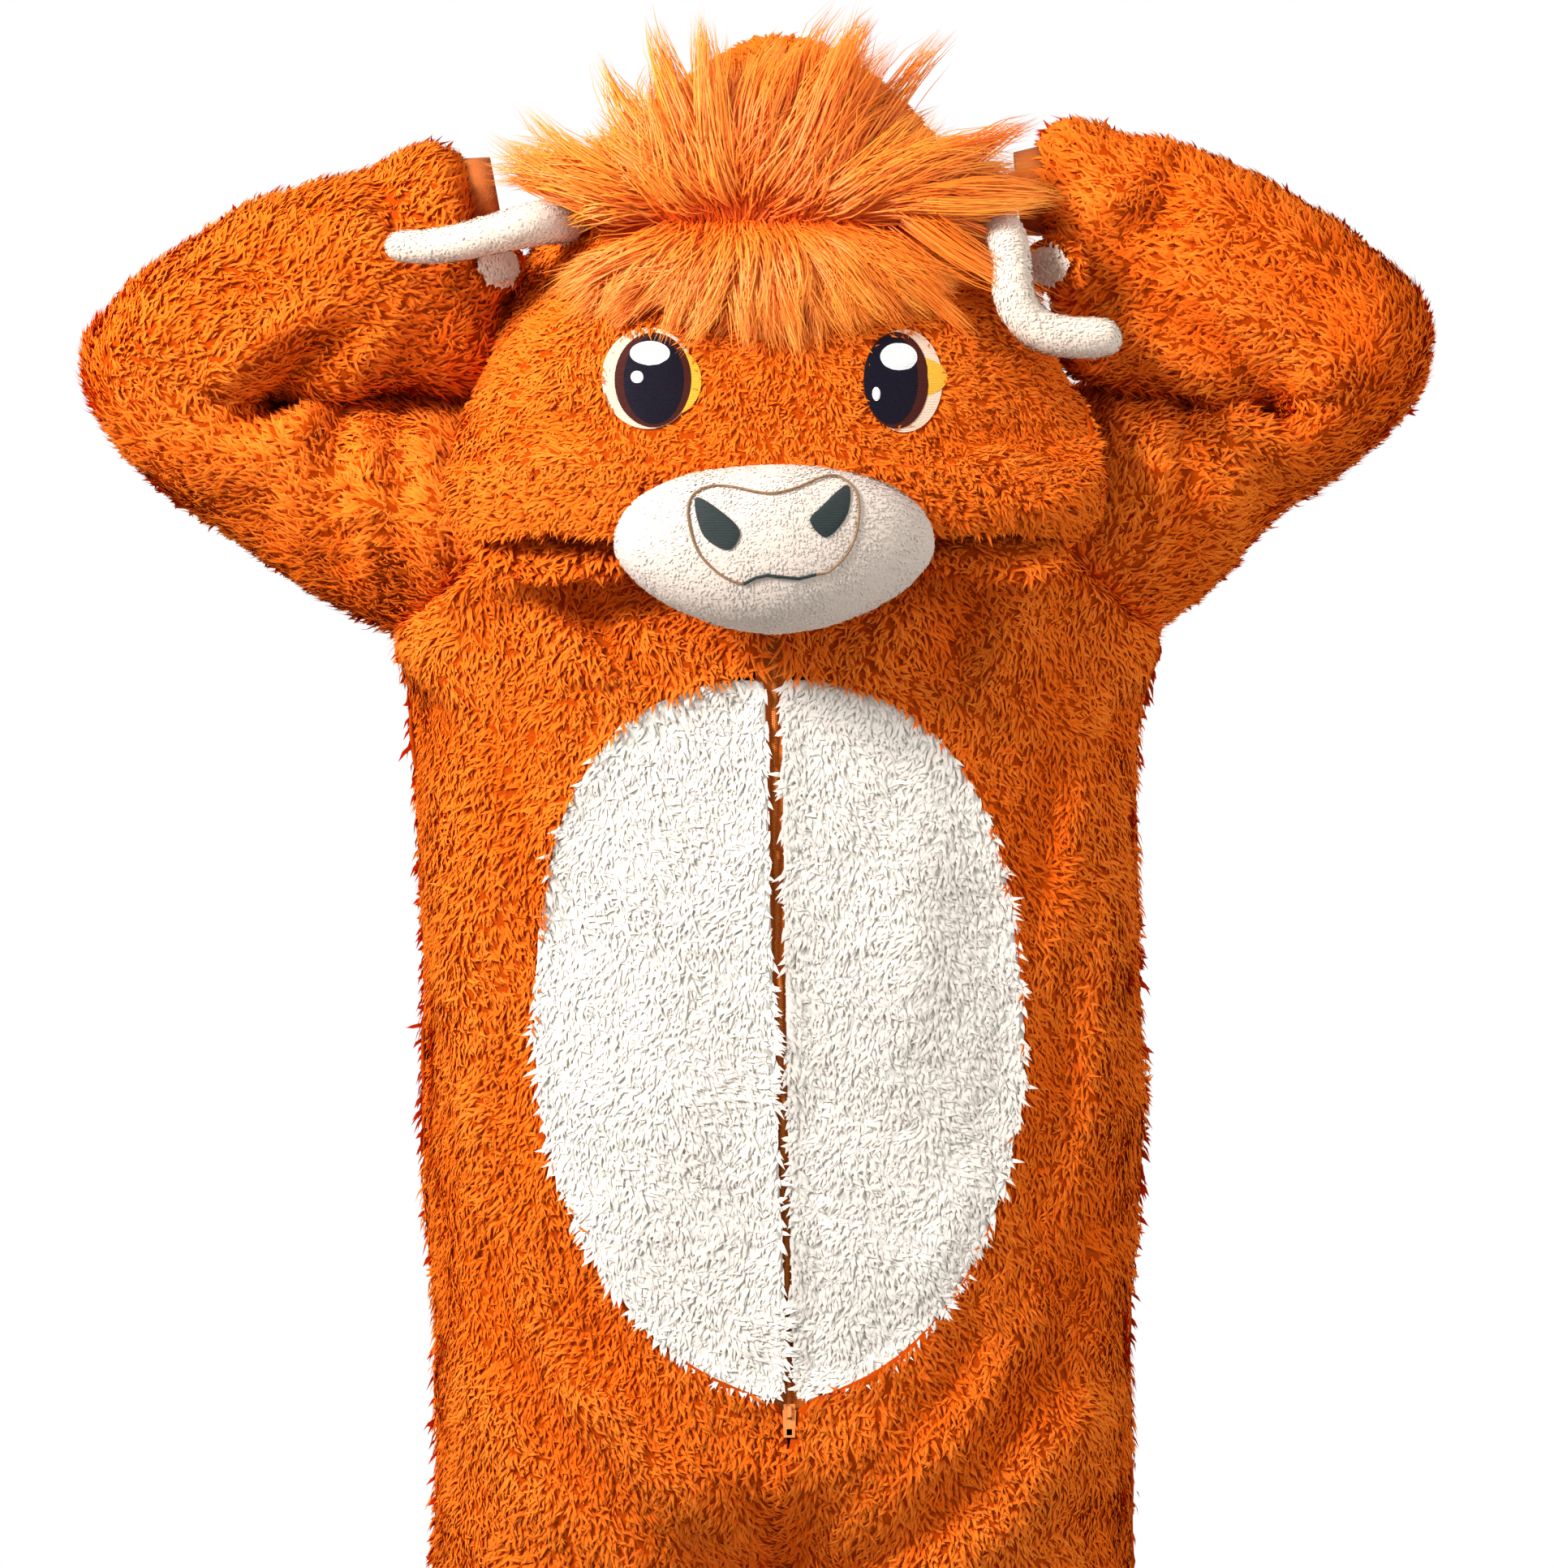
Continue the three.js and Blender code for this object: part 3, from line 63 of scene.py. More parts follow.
# Each light's place and width in metres, and its power in watts.
LIGHTS = {
    "key_light": {"place": (-2.9, -2.6, 2.0), "width": 1.3, "power": 325},
    "side_light": {"place": (3.0, -2.0, 0.6), "width": 2.0, "power": 40},
}
for name, row in LIGHTS.items():
    light = bpy.data.objects.new(name, bpy.data.lights.new(name, "AREA"))
    light.data.energy = row["power"]
    light.data.size = row["width"]
    light.location = row["place"]
    light.rotation_euler = (VIEW_CENTRE - light.location).to_track_quat("-Z", "Y").to_euler()
    bpy.context.scene.collection.objects.link(light)


class Value:
    """A shader socket that takes part in sums, products and powers."""

    def __init__(self, graph, socket):
        self.graph = graph
        self.socket = socket

    def __add__(self, other):
        return self.graph.math("ADD", self, other)

    def __radd__(self, other):
        return self.graph.math("ADD", other, self)

    def __sub__(self, other):
        return self.graph.math("SUBTRACT", self, other)

    def __rsub__(self, other):
        return self.graph.math("SUBTRACT", other, self)

    def __mul__(self, other):
        return self.graph.math("MULTIPLY", self, other)

    def __rmul__(self, other):
        return self.graph.math("MULTIPLY", other, self)

    def __pow__(self, other):
        return self.graph.math("POWER", self, other)

    def __rpow__(self, other):
        return self.graph.math("POWER", other, self)


class Graph:
    """A node tree: node makes any node, math sums and products, mix colour mixes, and feed links the
    result."""

    def __init__(self, tree):
        self.tree = tree

    def node(self, kind, settings=None, inputs=None, output=0):
        made = self.tree.nodes.new("ShaderNode" + kind)
        for key, value in (settings or {}).items():
            setattr(made, key, value)
        for key, value in (inputs or {}).items():
            if isinstance(value, Value):
                self.tree.links.new(value.socket, made.inputs[key])
            else:
                made.inputs[key].default_value = value
        return Value(self, made.outputs[output])

    def math(self, operation, a, b):
        return self.node("Math", {"operation": operation}, {0: a, 1: b})

    def mix(self, factor, a, b):
        a, b = (v if isinstance(v, Value) else (*v, 1) for v in (a, b))
        return self.node("Mix", {"data_type": "RGBA"}, {0: factor, 6: a, 7: b}, output=2)

    def feed(self, shader_name, key, value):
        self.tree.links.new(value.socket, self.tree.nodes[shader_name].inputs[key])


# How close to straight ahead the lit wall starts and is full, as cosines, and how bright room and wall are.
WALL_START = 0.80
WALL_FULL = 0.90
ROOM_LIGHT = 0.45
WALL_LIGHT = 1.0
world = bpy.data.worlds.new("studio")
world.use_nodes = True
world.node_tree.nodes["Background"].inputs["Color"].default_value = (1, 1, 1, 1)
bpy.context.scene.world = world
room = Graph(world.node_tree)
towards = room.node("TexCoord", output="Generated")
ahead = room.node("VectorMath", {"operation": "DOT_PRODUCT"}, {0: towards, 1: (0, 1, 0)}, output="Value")
wall = room.node("MapRange", {"interpolation_type": "SMOOTHSTEP"},
                 {0: ahead, 1: WALL_START, 2: WALL_FULL, 3: ROOM_LIGHT, 4: WALL_LIGHT})
room.feed("Background", "Strength", wall)

# Front panels
# Long orange plush, two panels from neck to ankle with the front of the legs, sewn to the sleeves, the back
# and round the cream patch. Each is a knit backing with folds laid on it and pile that lies down.
# The scene is in metres, and what a comment or a function gives in millimetres is multiplied by MM.
MM = 0.001
SURFACE = "Principled BSDF"


def shader(name, **constants):
    """A material with constants on its Principled node, and the graph of its nodes."""
    material = bpy.data.materials.new(name)
    material.use_nodes = True
    for key, value in constants.items():
        material.node_tree.nodes[SURFACE].inputs[key.replace("_", " ")].default_value = value
    return material, Graph(material.node_tree)


def attribute(graph, name):
    """A number that each point of a blade or strand carries."""
    return graph.node("Attribute", {"attribute_name": name}, output="Fac")


def pile_material(name, root, low, high):
    """Pile: painted shade darkens each blade from its tip towards the root colour, deep in the pile, and
    tufts and patches differ in tone. A tuft's tone also carries painted shade: darker in the troughs of
    folds and lighter on their ridges.
    """
    material, graph = shader(name, Roughness=0.85, Specular_IOR_Level=0.0)
    along = attribute(graph, "along")
    tufts = attribute(graph, "tone") * 0.75
    place = graph.node("TexCoord", output="Object")
    patches = graph.node("TexNoise", inputs={"Vector": place, "Scale": 9.0, "Detail": 2.0}) * 0.5
    tip = graph.mix(tufts + patches - 0.15, low, high)
    graph.feed(SURFACE, "Base Color", graph.mix(along ** 0.75, root, tip))
    return material


def backing_material(name, colour):
    """The knit under the pile."""
    material, graph = shader(name, Roughness=0.95, Specular_IOR_Level=0.0)
    place = graph.node("TexCoord", output="Object")
    fuzz = graph.node("TexNoise", inputs={"Vector": place, "Scale": 700.0, "Detail": 3.0})
    darker = tuple(0.55 * c for c in colour)
    graph.feed(SURFACE, "Base Color", graph.mix(fuzz, darker, colour))
    bump = graph.node("Bump", inputs={"Height": fuzz, "Distance": 0.0006, "Strength": 0.8})
    graph.feed(SURFACE, "Normal", bump)
    return material


# The first colour of each pile is at its roots, darker as painted shade deep in the pile.
ORANGE_PILE = pile_material("plush_orange", (0.76, 0.080, 0.003), (0.92, 0.145, 0.007), (1.0, 0.27, 0.028))
ORANGE_KNIT = backing_material("backing_orange", (0.58, 0.068, 0.003))


def unit(vectors):
    return vectors / (np.linalg.norm(vectors, axis=1, keepdims=True) + 1e-12)


# How far from its edges, in metres, a skin that moves in has moved by its full depth.
SEAM_FADE = 0.016


class Skin:
    """A cloth surface: points, outward normals, quads and triangles, in metres."""

    def __init__(self, points, faces):
        self.points = points
        self.faces = faces
        self.relief = np.zeros(len(points))
        corners = []
        for face in faces:
            corners.append((face[0], face[1], face[2]))
            if len(face) == 4:
                corners.append((face[0], face[2], face[3]))
        self.triangles = np.array(corners)
        self.update()

    def update(self):
        """Works out the areas and normals after the points have moved."""
        a, b, c = (self.points[self.triangles[:, k]] for k in range(3))
        cross = np.cross(b - a, c - a)
        self.areas = np.linalg.norm(cross, axis=1) / 2
        sums = np.zeros_like(self.points)
        for k in range(3):
            np.add.at(sums, self.triangles[:, k], cross)
        self.normals = unit(sums)

    def shift(self, height):
        """Moves each point out along its normal by a number, or by its own number, in millimetres."""
        self.points = self.points + self.normals * (np.asarray(height) * MM).reshape(-1, 1)
        self.update()

    def rim(self):
        """The points on the open edges, which are edges of one face only. Each face is taken as a closed
        round of five corners, and a triangle's last two are the same."""
        rounds = np.array([tuple(f) + (f[0],) * (5 - len(f)) for f in self.faces])
        edges = np.concatenate([rounds[:, k:k + 2] for k in range(4)])
        edges = np.sort(edges[edges[:, 0] != edges[:, 1]], axis=1)
        pairs, uses = np.unique(edges, axis=0, return_counts=True)
        return np.unique(pairs[uses == 1])

    def inset(self, depth):
        """Moves the surface in by a depth in millimetres, and less at its edges, to keep the seams shut."""
        rim = self.rim()
        near = KDTree(len(rim))
        for k in rim:
            near.insert(self.points[k], int(k))
        near.balance()
        gaps = np.array([near.find(point)[2] or 0 for point in self.points])
        self.shift(-depth * np.clip(gaps / SEAM_FADE, 0, 1))

    def tree(self):
        return BVHTree.FromPolygons(self.points.tolist(), self.triangles.tolist())


def welded(node):
    """A node's solid as a bmesh, with doubled points joined."""
    work = bmesh.new()
    work.from_mesh(nodes[node].data)
    bmesh.ops.remove_doubles(work, verts=work.verts, dist=1e-5)
    work.faces.ensure_lookup_table()
    return work


def smoothed(work, levels):
    """The skin of a bmesh, with its triangles joined to quads and after smooth subdivision."""
    bmesh.ops.join_triangles(work, faces=work.faces, angle_face_threshold=0.9, angle_shape_threshold=1.2)
    mesh = bpy.data.meshes.new("work")
    work.to_mesh(mesh)
    work.free()
    made = bpy.data.objects.new("work", mesh)
    bpy.context.scene.collection.objects.link(made)
    modifier = made.modifiers.new("smooth", "SUBSURF")
    modifier.levels = levels
    modifier.boundary_smooth = "PRESERVE_CORNERS"
    result = made.evaluated_get(bpy.context.evaluated_depsgraph_get()).to_mesh()
    points = np.empty(len(result.vertices) * 3)
    result.vertices.foreach_get("co", points)
    faces = [tuple(p.vertices) for p in result.polygons]
    bpy.data.objects.remove(made)
    return Skin(points.reshape(-1, 3), faces)


# A ray starts this far inside the wall and meets its other side within this distance, in metres.
JUST_INSIDE = 0.0004
THICKEST_WALL = 0.0115
# The least cosines between the two sides of a wall, and between neighbouring faces of one side.
ACROSS_WALL = 0.5
ALONG_SIDE = 0.2
# How many rows of the wall's edge faces may go with its outer side.
EDGE_ROWS = 4


def wall_faces(work):
    """The faces with the other side of the wall close behind them, which are all but those of its edges."""
    tree = BVHTree.FromBMesh(work)
    walls = set()
    for face in work.faces:
        start = face.calc_center_median() - face.normal * JUST_INSIDE
        hit = tree.ray_cast(start, -face.normal, THICKEST_WALL)
        if hit[0] is not None and abs(hit[1].dot(face.normal)) > ACROSS_WALL:
            walls.add(face.index)
    return walls


def area_of(side):
    return sum(face.calc_area() for face in side)


def wall_sides(work, walls):
    """The sides of the wall, each a list of faces that join, the largest first."""
    sides = []
    left = set(walls)
    while left:
        stack = [left.pop()]
        side = []
        while stack:
            face = work.faces[stack.pop()]
            side.append(face)
            for edge in face.edges:
                for other in edge.link_faces:
                    if other.index in left and other.normal.dot(face.normal) > ALONG_SIDE:
                        left.discard(other.index)
                        stack.append(other.index)
        sides.append(side)
    return sorted(sides, key=lambda side: -area_of(side))


def outside(node, levels=2, middle=None):
    """The outer side of a cloth node's solid. With a middle, it is the side that faces away from that
    point; with none, the larger side."""
    work = welded(node)
    walls = wall_faces(work)

    def facing(side):
        if middle is None:
            return area_of(side)
        away = ((face, (face.calc_center_median() - Vector(middle)).normalized()) for face in side)
        return sum(face.calc_area() * face.normal.dot(direction) for face, direction in away)

    keep = {face.index for face in max(wall_sides(work, walls)[:2], key=facing)}
    others = walls - keep
    # Faces between the two sides join the outer one where they lie in it and don't touch the inner one.
    for _ in range(EDGE_ROWS):
        for face in work.faces:
            around = [o.index for e in face.edges for o in e.link_faces if o.index != face.index]
            kept = sum(o in keep for o in around)
            if face.index not in walls and kept >= 2 and not any(o in others for o in around):
                keep.add(face.index)
    bmesh.ops.delete(work, geom=[f for f in work.faces if f.index not in keep], context="FACES")
    return smoothed(work, levels)


def placed(name, mesh, material):
    """A mesh object in the row's frame that rides on the garment."""
    mesh.materials.append(material)
    made = bpy.data.objects.new(name, mesh)
    bpy.context.scene.collection.objects.link(made)
    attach(made, "garment")
    return made


def piece(name, points, faces, material):
    """An object of smooth faces."""
    mesh = bpy.data.meshes.new(name)
    mesh.from_pydata(np.asarray(points).tolist(), [], [tuple(int(i) for i in f) for f in faces])
    mesh.polygons.foreach_set("use_smooth", [True] * len(mesh.polygons))
    mesh.update()
    return placed(name, mesh, material)


def strands(name, points, faces, shading, along, tone, material):
    """An object of many blades. Each point has its place from root to tip, its tone and its shading."""
    mesh = bpy.data.meshes.new(name)
    mesh.vertices.add(len(points))
    mesh.vertices.foreach_set("co", np.ascontiguousarray(points, dtype=np.float32).ravel())
    mesh.loops.add(len(faces) * 3)
    mesh.loops.foreach_set("vertex_index", np.ascontiguousarray(faces, dtype=np.int32).ravel())
    mesh.polygons.add(len(faces))
    mesh.polygons.foreach_set("loop_start", np.arange(len(faces), dtype=np.int32) * 3)
    mesh.update(calc_edges=True)
    mesh.polygons.foreach_set("use_smooth", np.ones(len(faces), dtype=bool))
    for key, values in (("along", along), ("tone", tone)):
        layer = mesh.attributes.new(key, "FLOAT", "POINT")
        layer.data.foreach_set("value", np.ascontiguousarray(values, dtype=np.float32))
    mesh.normals_split_custom_set_from_vertices(unit(shading).tolist())
    return placed(name, mesh, material)


WAVES = 5


def ripple(points, wavelength, seed):
    """Smooth noise of about -1 to 1 made of crossing waves; the wavelength is in millimetres."""
    draw = np.random.default_rng(seed)
    total = np.zeros(len(points))
    for _ in range(WAVES):
        heading = draw.normal(size=3)
        heading /= np.linalg.norm(heading)
        pitch = wavelength * MM * draw.uniform(0.7, 1.5)
        total += np.sin(points @ heading * (2 * math.pi / pitch) + draw.uniform(0, 6.28))
    return total / math.sqrt(WAVES)


def scattered(skin, spacing, draw):
    """Places about a spacing in millimetres apart, evenly over a skin, with their normals and relief."""
    count = int(skin.areas.sum() / (spacing * MM) ** 2)
    steps = np.cumsum(skin.areas)
    picks = (np.arange(count) + draw.random(count)) / count * steps[-1]
    chosen = np.minimum(np.searchsorted(steps, picks), len(steps) - 1)
    r1, r2 = np.sqrt(draw.random(count)), draw.random(count)
    weights = np.stack([1 - r1, r1 * (1 - r2), r1 * r2], axis=1)
    corners = skin.triangles[chosen]
    place = np.einsum("nk,nkc->nc", weights, skin.points[corners])
    normal = unit(np.einsum("nk,nkc->nc", weights, skin.normals[corners]))
    return place, normal, np.sum(weights * skin.relief[corners], axis=1)


def pile(name, skin, material, slot, nap, seed, spacing, length, width, lean=0.38, clump=3.0, crisp=0.3,
         bare=None, longer=None):
    """Tufts of pile all over a skin, lying along the nap. Sizes are in millimetres. A tuft rises by lean,
    in radians, and its tip moves by clump towards its neighbours' tips; crisp is the contrast between its
    sides. bare(points) says where there are no tufts, and longer(points) by what factor they are longer."""
    draw = np.random.default_rng(seed)
    place, normal, relief = scattered(skin, spacing, draw)
    if bare is not None:
        keep = ~bare(place)
        place, normal, relief = place[keep], normal[keep], relief[keep]
    count = len(place)

    # The nap along the surface, turned in swirls and from tuft to tuft.
    flow = nap(place)
    flow = unit(flow - normal * np.sum(flow * normal, axis=1, keepdims=True))
    side = np.cross(normal, flow)
    swirl = 0.55 * ripple(place, 70, seed + 1)
    stray = 0.5 * draw.normal(size=count)
    turn = (swirl + stray).reshape(-1, 1)
    flow = unit(flow * np.cos(turn) + side * np.sin(turn))
    side = np.cross(normal, flow)

    # Each tuft's length, its rise from the surface and half its width.
    uneven = 0.75 + 0.5 * draw.random(count)
    waved = 1 + 0.18 * ripple(place, 26, seed + 2)
    long = (length * MM * uneven * waved).reshape(-1, 1)
    if longer is not None:
        long = long * longer(place).reshape(-1, 1)
    lift = lean * (1 + 0.35 * draw.normal(size=count) + 0.3 * ripple(place, 40, seed + 3))
    lift = np.clip(lift, 0.08, 1.3).reshape(-1, 1)
    rise = np.sin(lift)
    run = np.cos(lift)
    half = side * (width * MM / 2 * (0.8 + 0.4 * draw.random((count, 1))))

    # A tuft has two points at its base, two at its middle, where it bends flatter, and one at its tip.
    aside = side * ripple(place, 11, seed + 4).reshape(-1, 1)
    gather = aside + flow * ripple(place, 9, seed + 5).reshape(-1, 1)
    base = place - normal * MM
    middle = place + (normal * rise + flow * run) * long * 0.5 + gather * clump * MM * 0.35
    tip = middle + (normal * rise * 0.45 + flow * run) * long * 0.55 + gather * clump * MM * 0.65
    points = np.stack([base - half, base + half, middle - half * 0.85, middle + half * 0.85, tip], axis=1)
    along = [0.0, 0.0, 0.6, 0.6, 1.0]
    first = (np.arange(count) * len(along)).reshape(-1, 1)
    faces = np.concatenate([first + [0, 3, 1], first + [0, 2, 3], first + [2, 4, 3]], axis=0)

    # Shading is the skin's with a difference between the sides of a tuft. The tone carries painted shade
    # from the folds: darker in the troughs between them and lighter on their ridges.
    left, right = normal - side * crisp, normal + side * crisp
    shading = np.stack([left, right, left, right, normal * 0.9 + flow * 0.35], axis=1)
    shading += draw.normal(size=(count, 1, 3)) * 0.2 * crisp
    by_tuft = draw.random(count) * 0.5 + 0.25
    painted_fold_shade = np.clip(relief / 14, -0.45, 0.35)
    tone = by_tuft + 0.2 * ripple(place, 14, seed + 6) + painted_fold_shade
    return strands(name, points.reshape(-1, 3), faces, shading.reshape(-1, 3), np.tile(along, count),
                   np.repeat(tone, len(along)), material)


def crease(skin, path, width, height):
    """The height, in millimetres, that a soft ridge or trough along a path of (x, z) adds at each point. It
    fades out across its width and towards its ends."""
    flat = skin.points[:, [0, 2]] / MM
    best = np.full(len(flat), np.inf)
    share = np.zeros(len(flat))
    path = np.array(path, dtype=float)
    steps = np.linalg.norm(np.diff(path, axis=0), axis=1)
    done = np.concatenate([[0], np.cumsum(steps)]) / steps.sum()
    for k, (start, end) in enumerate(zip(path[:-1], path[1:])):
        run = end - start
        t = np.clip(((flat - start) @ run) / (run @ run), 0, 1)
        gap = np.linalg.norm(flat - start - t[:, None] * run, axis=1)
        closer = gap < best
        best = np.where(closer, gap, best)
        share = np.where(closer, done[k] + t * (done[k + 1] - done[k]), share)
    fade = np.clip(np.sin(np.pi * (0.06 + 0.88 * share)), 0, 1) ** 0.7
    return height * np.exp(-(best / width) ** 2) * fade


def folded(skin, creases, drape, seed, side=None):
    """Lays creases on a skin, each a path with a width and a height, and a slight unevenness all over, of
    about drape millimetres. side keeps the creases to its front (-1) or back (1)."""
    height = drape * ripple(skin.points, 150, seed) + drape * 0.5 * ripple(skin.points, 60, seed + 9)
    for path, width, depth in creases:
        added = crease(skin, path, width, depth)
        if side is not None:
            added = added * np.clip(0.5 + side * skin.normals[:, 1] * 1.5, 0, 1)
        height = height + added
    skin.relief = height
    skin.shift(height)


# How far the backing lies under the solid's surface, in millimetres, to leave room for the pile, and how
# thick it is, in metres.
PILE_DEPTH = 4.0
BACKING = 0.0022


def cloth(node, skin, material, slot, held, pile_pieces, flat, area=None):
    """The cloth of a node: a thin shell just under the pile."""
    made = piece(node + "_cloth", skin.points, skin.faces, material)
    shell = made.modifiers.new("backing", "SOLIDIFY")
    shell.thickness = BACKING
    shell.offset = -1
    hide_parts(node)


# The zip's line, the belly patch's middle, half height and top, the pull tab's place and where the legs'
# plainer pile starts, in metres.
ZIP_X = 0.004
PATCH_Z = -0.429
PATCH_HALF = 0.286
PATCH_TOP = -0.142
PULL_X = 0.009
PULL_Z = -0.667
LEG_TOP = -0.83


def down(points):
    """Nap that falls down the body and outwards. It closes over the zip, less beside the patch."""
    flow = np.zeros_like(points)
    off_zip = points[:, 0] - ZIP_X
    closing = np.where(np.abs(points[:, 2] - PATCH_Z) < PATCH_HALF, 0.5, 2.2)
    over_zip = closing * np.sign(off_zip) * np.exp(-(off_zip / 0.015) ** 2)
    flow[:, 0] = 0.25 * np.tanh(points[:, 0] / 0.2) - over_zip
    flow[:, 1] = -0.1
    flow[:, 2] = -1
    return flow


def near(points, x, z, wide, tall):
    """1 at a place on the front, and less away from it, over the width and height given."""
    return np.exp(-((points[:, 0] - x) / wide) ** 2 - ((points[:, 2] - z) / tall) ** 2)


def at_zip(points):
    """How many times longer the pile is: more above the patch and at its top, and less at the pull."""
    beside = np.exp(-((points[:, 0] - ZIP_X) / 0.014) ** 2)
    above = near(points, ZIP_X, PATCH_TOP + 0.004, 0.030, 0.014)
    at_pull = near(points, PULL_X, PULL_Z, 0.011, 0.015)
    return 1 + np.where(points[:, 2] > PATCH_TOP, 0.9, 0) * beside + 0.7 * above - 0.6 * at_pull


def legs_only(points):
    return points[:, 2] < LEG_TOP


def above_legs(points):
    return points[:, 2] >= LEG_TOP


# A point inside the torso, which the outer sides of its panels face away from.
TORSO_MIDDLE = (0, 0, -0.45)
# Creases of each panel: a path of (x, z), a width and a height, all in millimetres.
BODY_CREASES = {
    "front_right": [
        ([(-198, -61), (-160, -100), (-108, -152)], 13, 10),
        ([(-151, -72), (-125, -108), (-98, -142)], 10, -10),
        ([(-119, -94), (-90, -118), (-50, -140)], 11, 8),
        ([(-268, -150), (-215, -200), (-176, -300)], 14, -9),
        ([(-272, -112), (-235, -160), (-205, -245)], 14, 9),
        ([(-248, -260), (-222, -400), (-216, -540)], 20, 7),
        ([(-225, -330), (-196, -470), (-190, -560)], 15, -6),
        ([(-240, -470), (-205, -620), (-140, -750)], 20, -9),
        ([(-215, -540), (-150, -670), (-30, -790)], 18, 9),
        ([(-150, -600), (-80, -700), (-8, -775)], 14, -8),
        ([(-245, -640), (-180, -740), (-60, -830)], 20, 9),
        ([(-90, -690), (-50, -735), (-2, -800)], 11, 6),
    ],
    "front_left": [
        ([(187, -61), (168, -120), (141, -178)], 13, 10),
        ([(142, -70), (130, -100), (114, -134)], 10, -10),
        ([(104, -72), (90, -105), (62, -138)], 11, 7),
        ([(262, -160), (212, -215), (184, -330)], 14, -9),
        ([(275, -118), (240, -165), (214, -260)], 14, 9),
        ([(258, -240), (238, -400), (226, -540)], 20, 7),
        ([(232, -300), (214, -430), (214, -520)], 15, -6),
        ([(250, -500), (200, -650), (110, -760)], 20, -9),
        ([(215, -580), (140, -700), (30, -800)], 18, 9),
        ([(150, -620), (90, -710), (26, -780)], 14, -8),
        ([(250, -660), (170, -760), (60, -840)], 20, 9),
        ([(100, -700), (60, -745), (14, -810)], 11, 6),
    ],
    "back_right": [
        ([(-250, -150), (-190, -220), (-120, -330)], 18, -9),
        ([(-235, -125), (-150, -150), (-60, -160)], 18, 8),
        ([(-225, -420), (-150, -520), (-40, -560)], 22, 8),
        ([(-215, -560), (-140, -680), (-30, -760)], 22, -8),
    ],
    "back_left": [
        ([(245, -160), (180, -230), (110, -320)], 18, -9),
        ([(230, -130), (140, -148), (50, -170)], 18, 8),
        ([(230, -380), (160, -500), (60, -570)], 22, 8),
        ([(210, -580), (130, -690), (40, -740)], 22, -8),
    ],
}
BODY_SHEETS = {
    "front_right": {"flat": (0.42, 1.22), "area": 0.36},
    "front_left": {"flat": (0.42, 1.22), "area": 0.36},
    "back_right": {"flat": (0.44, 1.22), "area": 0.43},
    "back_left": {"flat": (0.44, 1.22), "area": 0.43},
}
FRONT_PILE = {"spacing": 3.3, "length": 10.5, "width": 2.7}
LEG_PILE = {"spacing": 4.7, "length": 12.5, "width": 3.9}
BACK_PILE = {"spacing": 5.0, "length": 13, "width": 4.4}
for seed, (node, creases) in enumerate(BODY_CREASES.items()):
    front = node.startswith("front")
    skin = outside(node, middle=TORSO_MIDDLE)
    folded(skin, creases, drape=2.2, seed=40 + seed, side=-1 if front else 1)
    skin.inset(PILE_DEPTH)
    if front:
        fur = [pile(node + "_pile", skin, ORANGE_PILE, "plush_orange", down, 100 + seed, **FRONT_PILE,
                    longer=at_zip, bare=legs_only),
               pile(node + "_leg_pile", skin, ORANGE_PILE, "plush_orange", down, 104 + seed, **LEG_PILE,
                    bare=above_legs)]
    else:
        fur = [pile(node + "_pile", skin, ORANGE_PILE, "plush_orange", down, 100 + seed, **BACK_PILE)]
    cloth(node, skin, ORANGE_KNIT, "plush_orange", "hung", fur, **BODY_SHEETS[node])

# Belly patch
# Cream plush in two halves, one each side of the zip, sewn flush into the front panels. It lies smooth over
# the front, with pile that falls downwards and leans a little over the zip.
CREAM_PILE = pile_material("plush_cream", (0.84, 0.75, 0.65), (0.87, 0.80, 0.72), (0.91, 0.85, 0.78))
CREAM_KNIT = backing_material("backing_cream", (0.88, 0.83, 0.74))
BELLY_CREASES = [
    ([(-100, -330), (-60, -500)], 26, 4),
    ([(110, -240), (90, -420)], 26, 5),
    ([(150, -500), (90, -610)], 20, 5),
    ([(-150, -520), (-90, -620)], 20, 4),
]
for seed, node in enumerate(["belly_right", "belly_left"]):
    skin = outside(node, middle=TORSO_MIDDLE)
    folded(skin, BELLY_CREASES, drape=1.4, seed=60)
    skin.inset(PILE_DEPTH)
    fur = pile(node + "_pile", skin, CREAM_PILE, "plush_cream", down, 120 + seed,
               spacing=2.8, length=10, width=3.6, lean=0.20, clump=2.0, crisp=0.12, longer=at_zip)
    cloth(node, skin, CREAM_KNIT, "plush_cream", "hung", [fur], flat=(0.15, 0.53), area=0.075)

# Sleeves
# Orange plush tubes, raised and bent sharply at the elbow. The cloth bunches in the crook and hangs in
# upright folds from the armhole to the elbow. The pile lies along the sleeve.
ARM_LINES = {
    "right": [(-250, 6, -60), (-282, 6, -27), (-337, 2, -4), (-388, -2, 15), (-426, -8, 35), (-447, -14, 60),
              (-446, -20, 86), (-426, -26, 107), (-395, -30, 125), (-357, -33, 143), (-315, -36, 162),
              (-272, -38, 172), (-243, -40, 188), (-228, -40, 206)],
    "left": [(245, 6, -55), (278, 6, -16), (321, 2, 5), (363, -2, 19), (396, -8, 34), (417, -14, 55),
             (426, -20, 79), (417, -26, 104), (392, -30, 124), (355, -33, 144), (315, -36, 165),
             (277, -38, 183), (241, -40, 187), (213, -40, 212)],
}
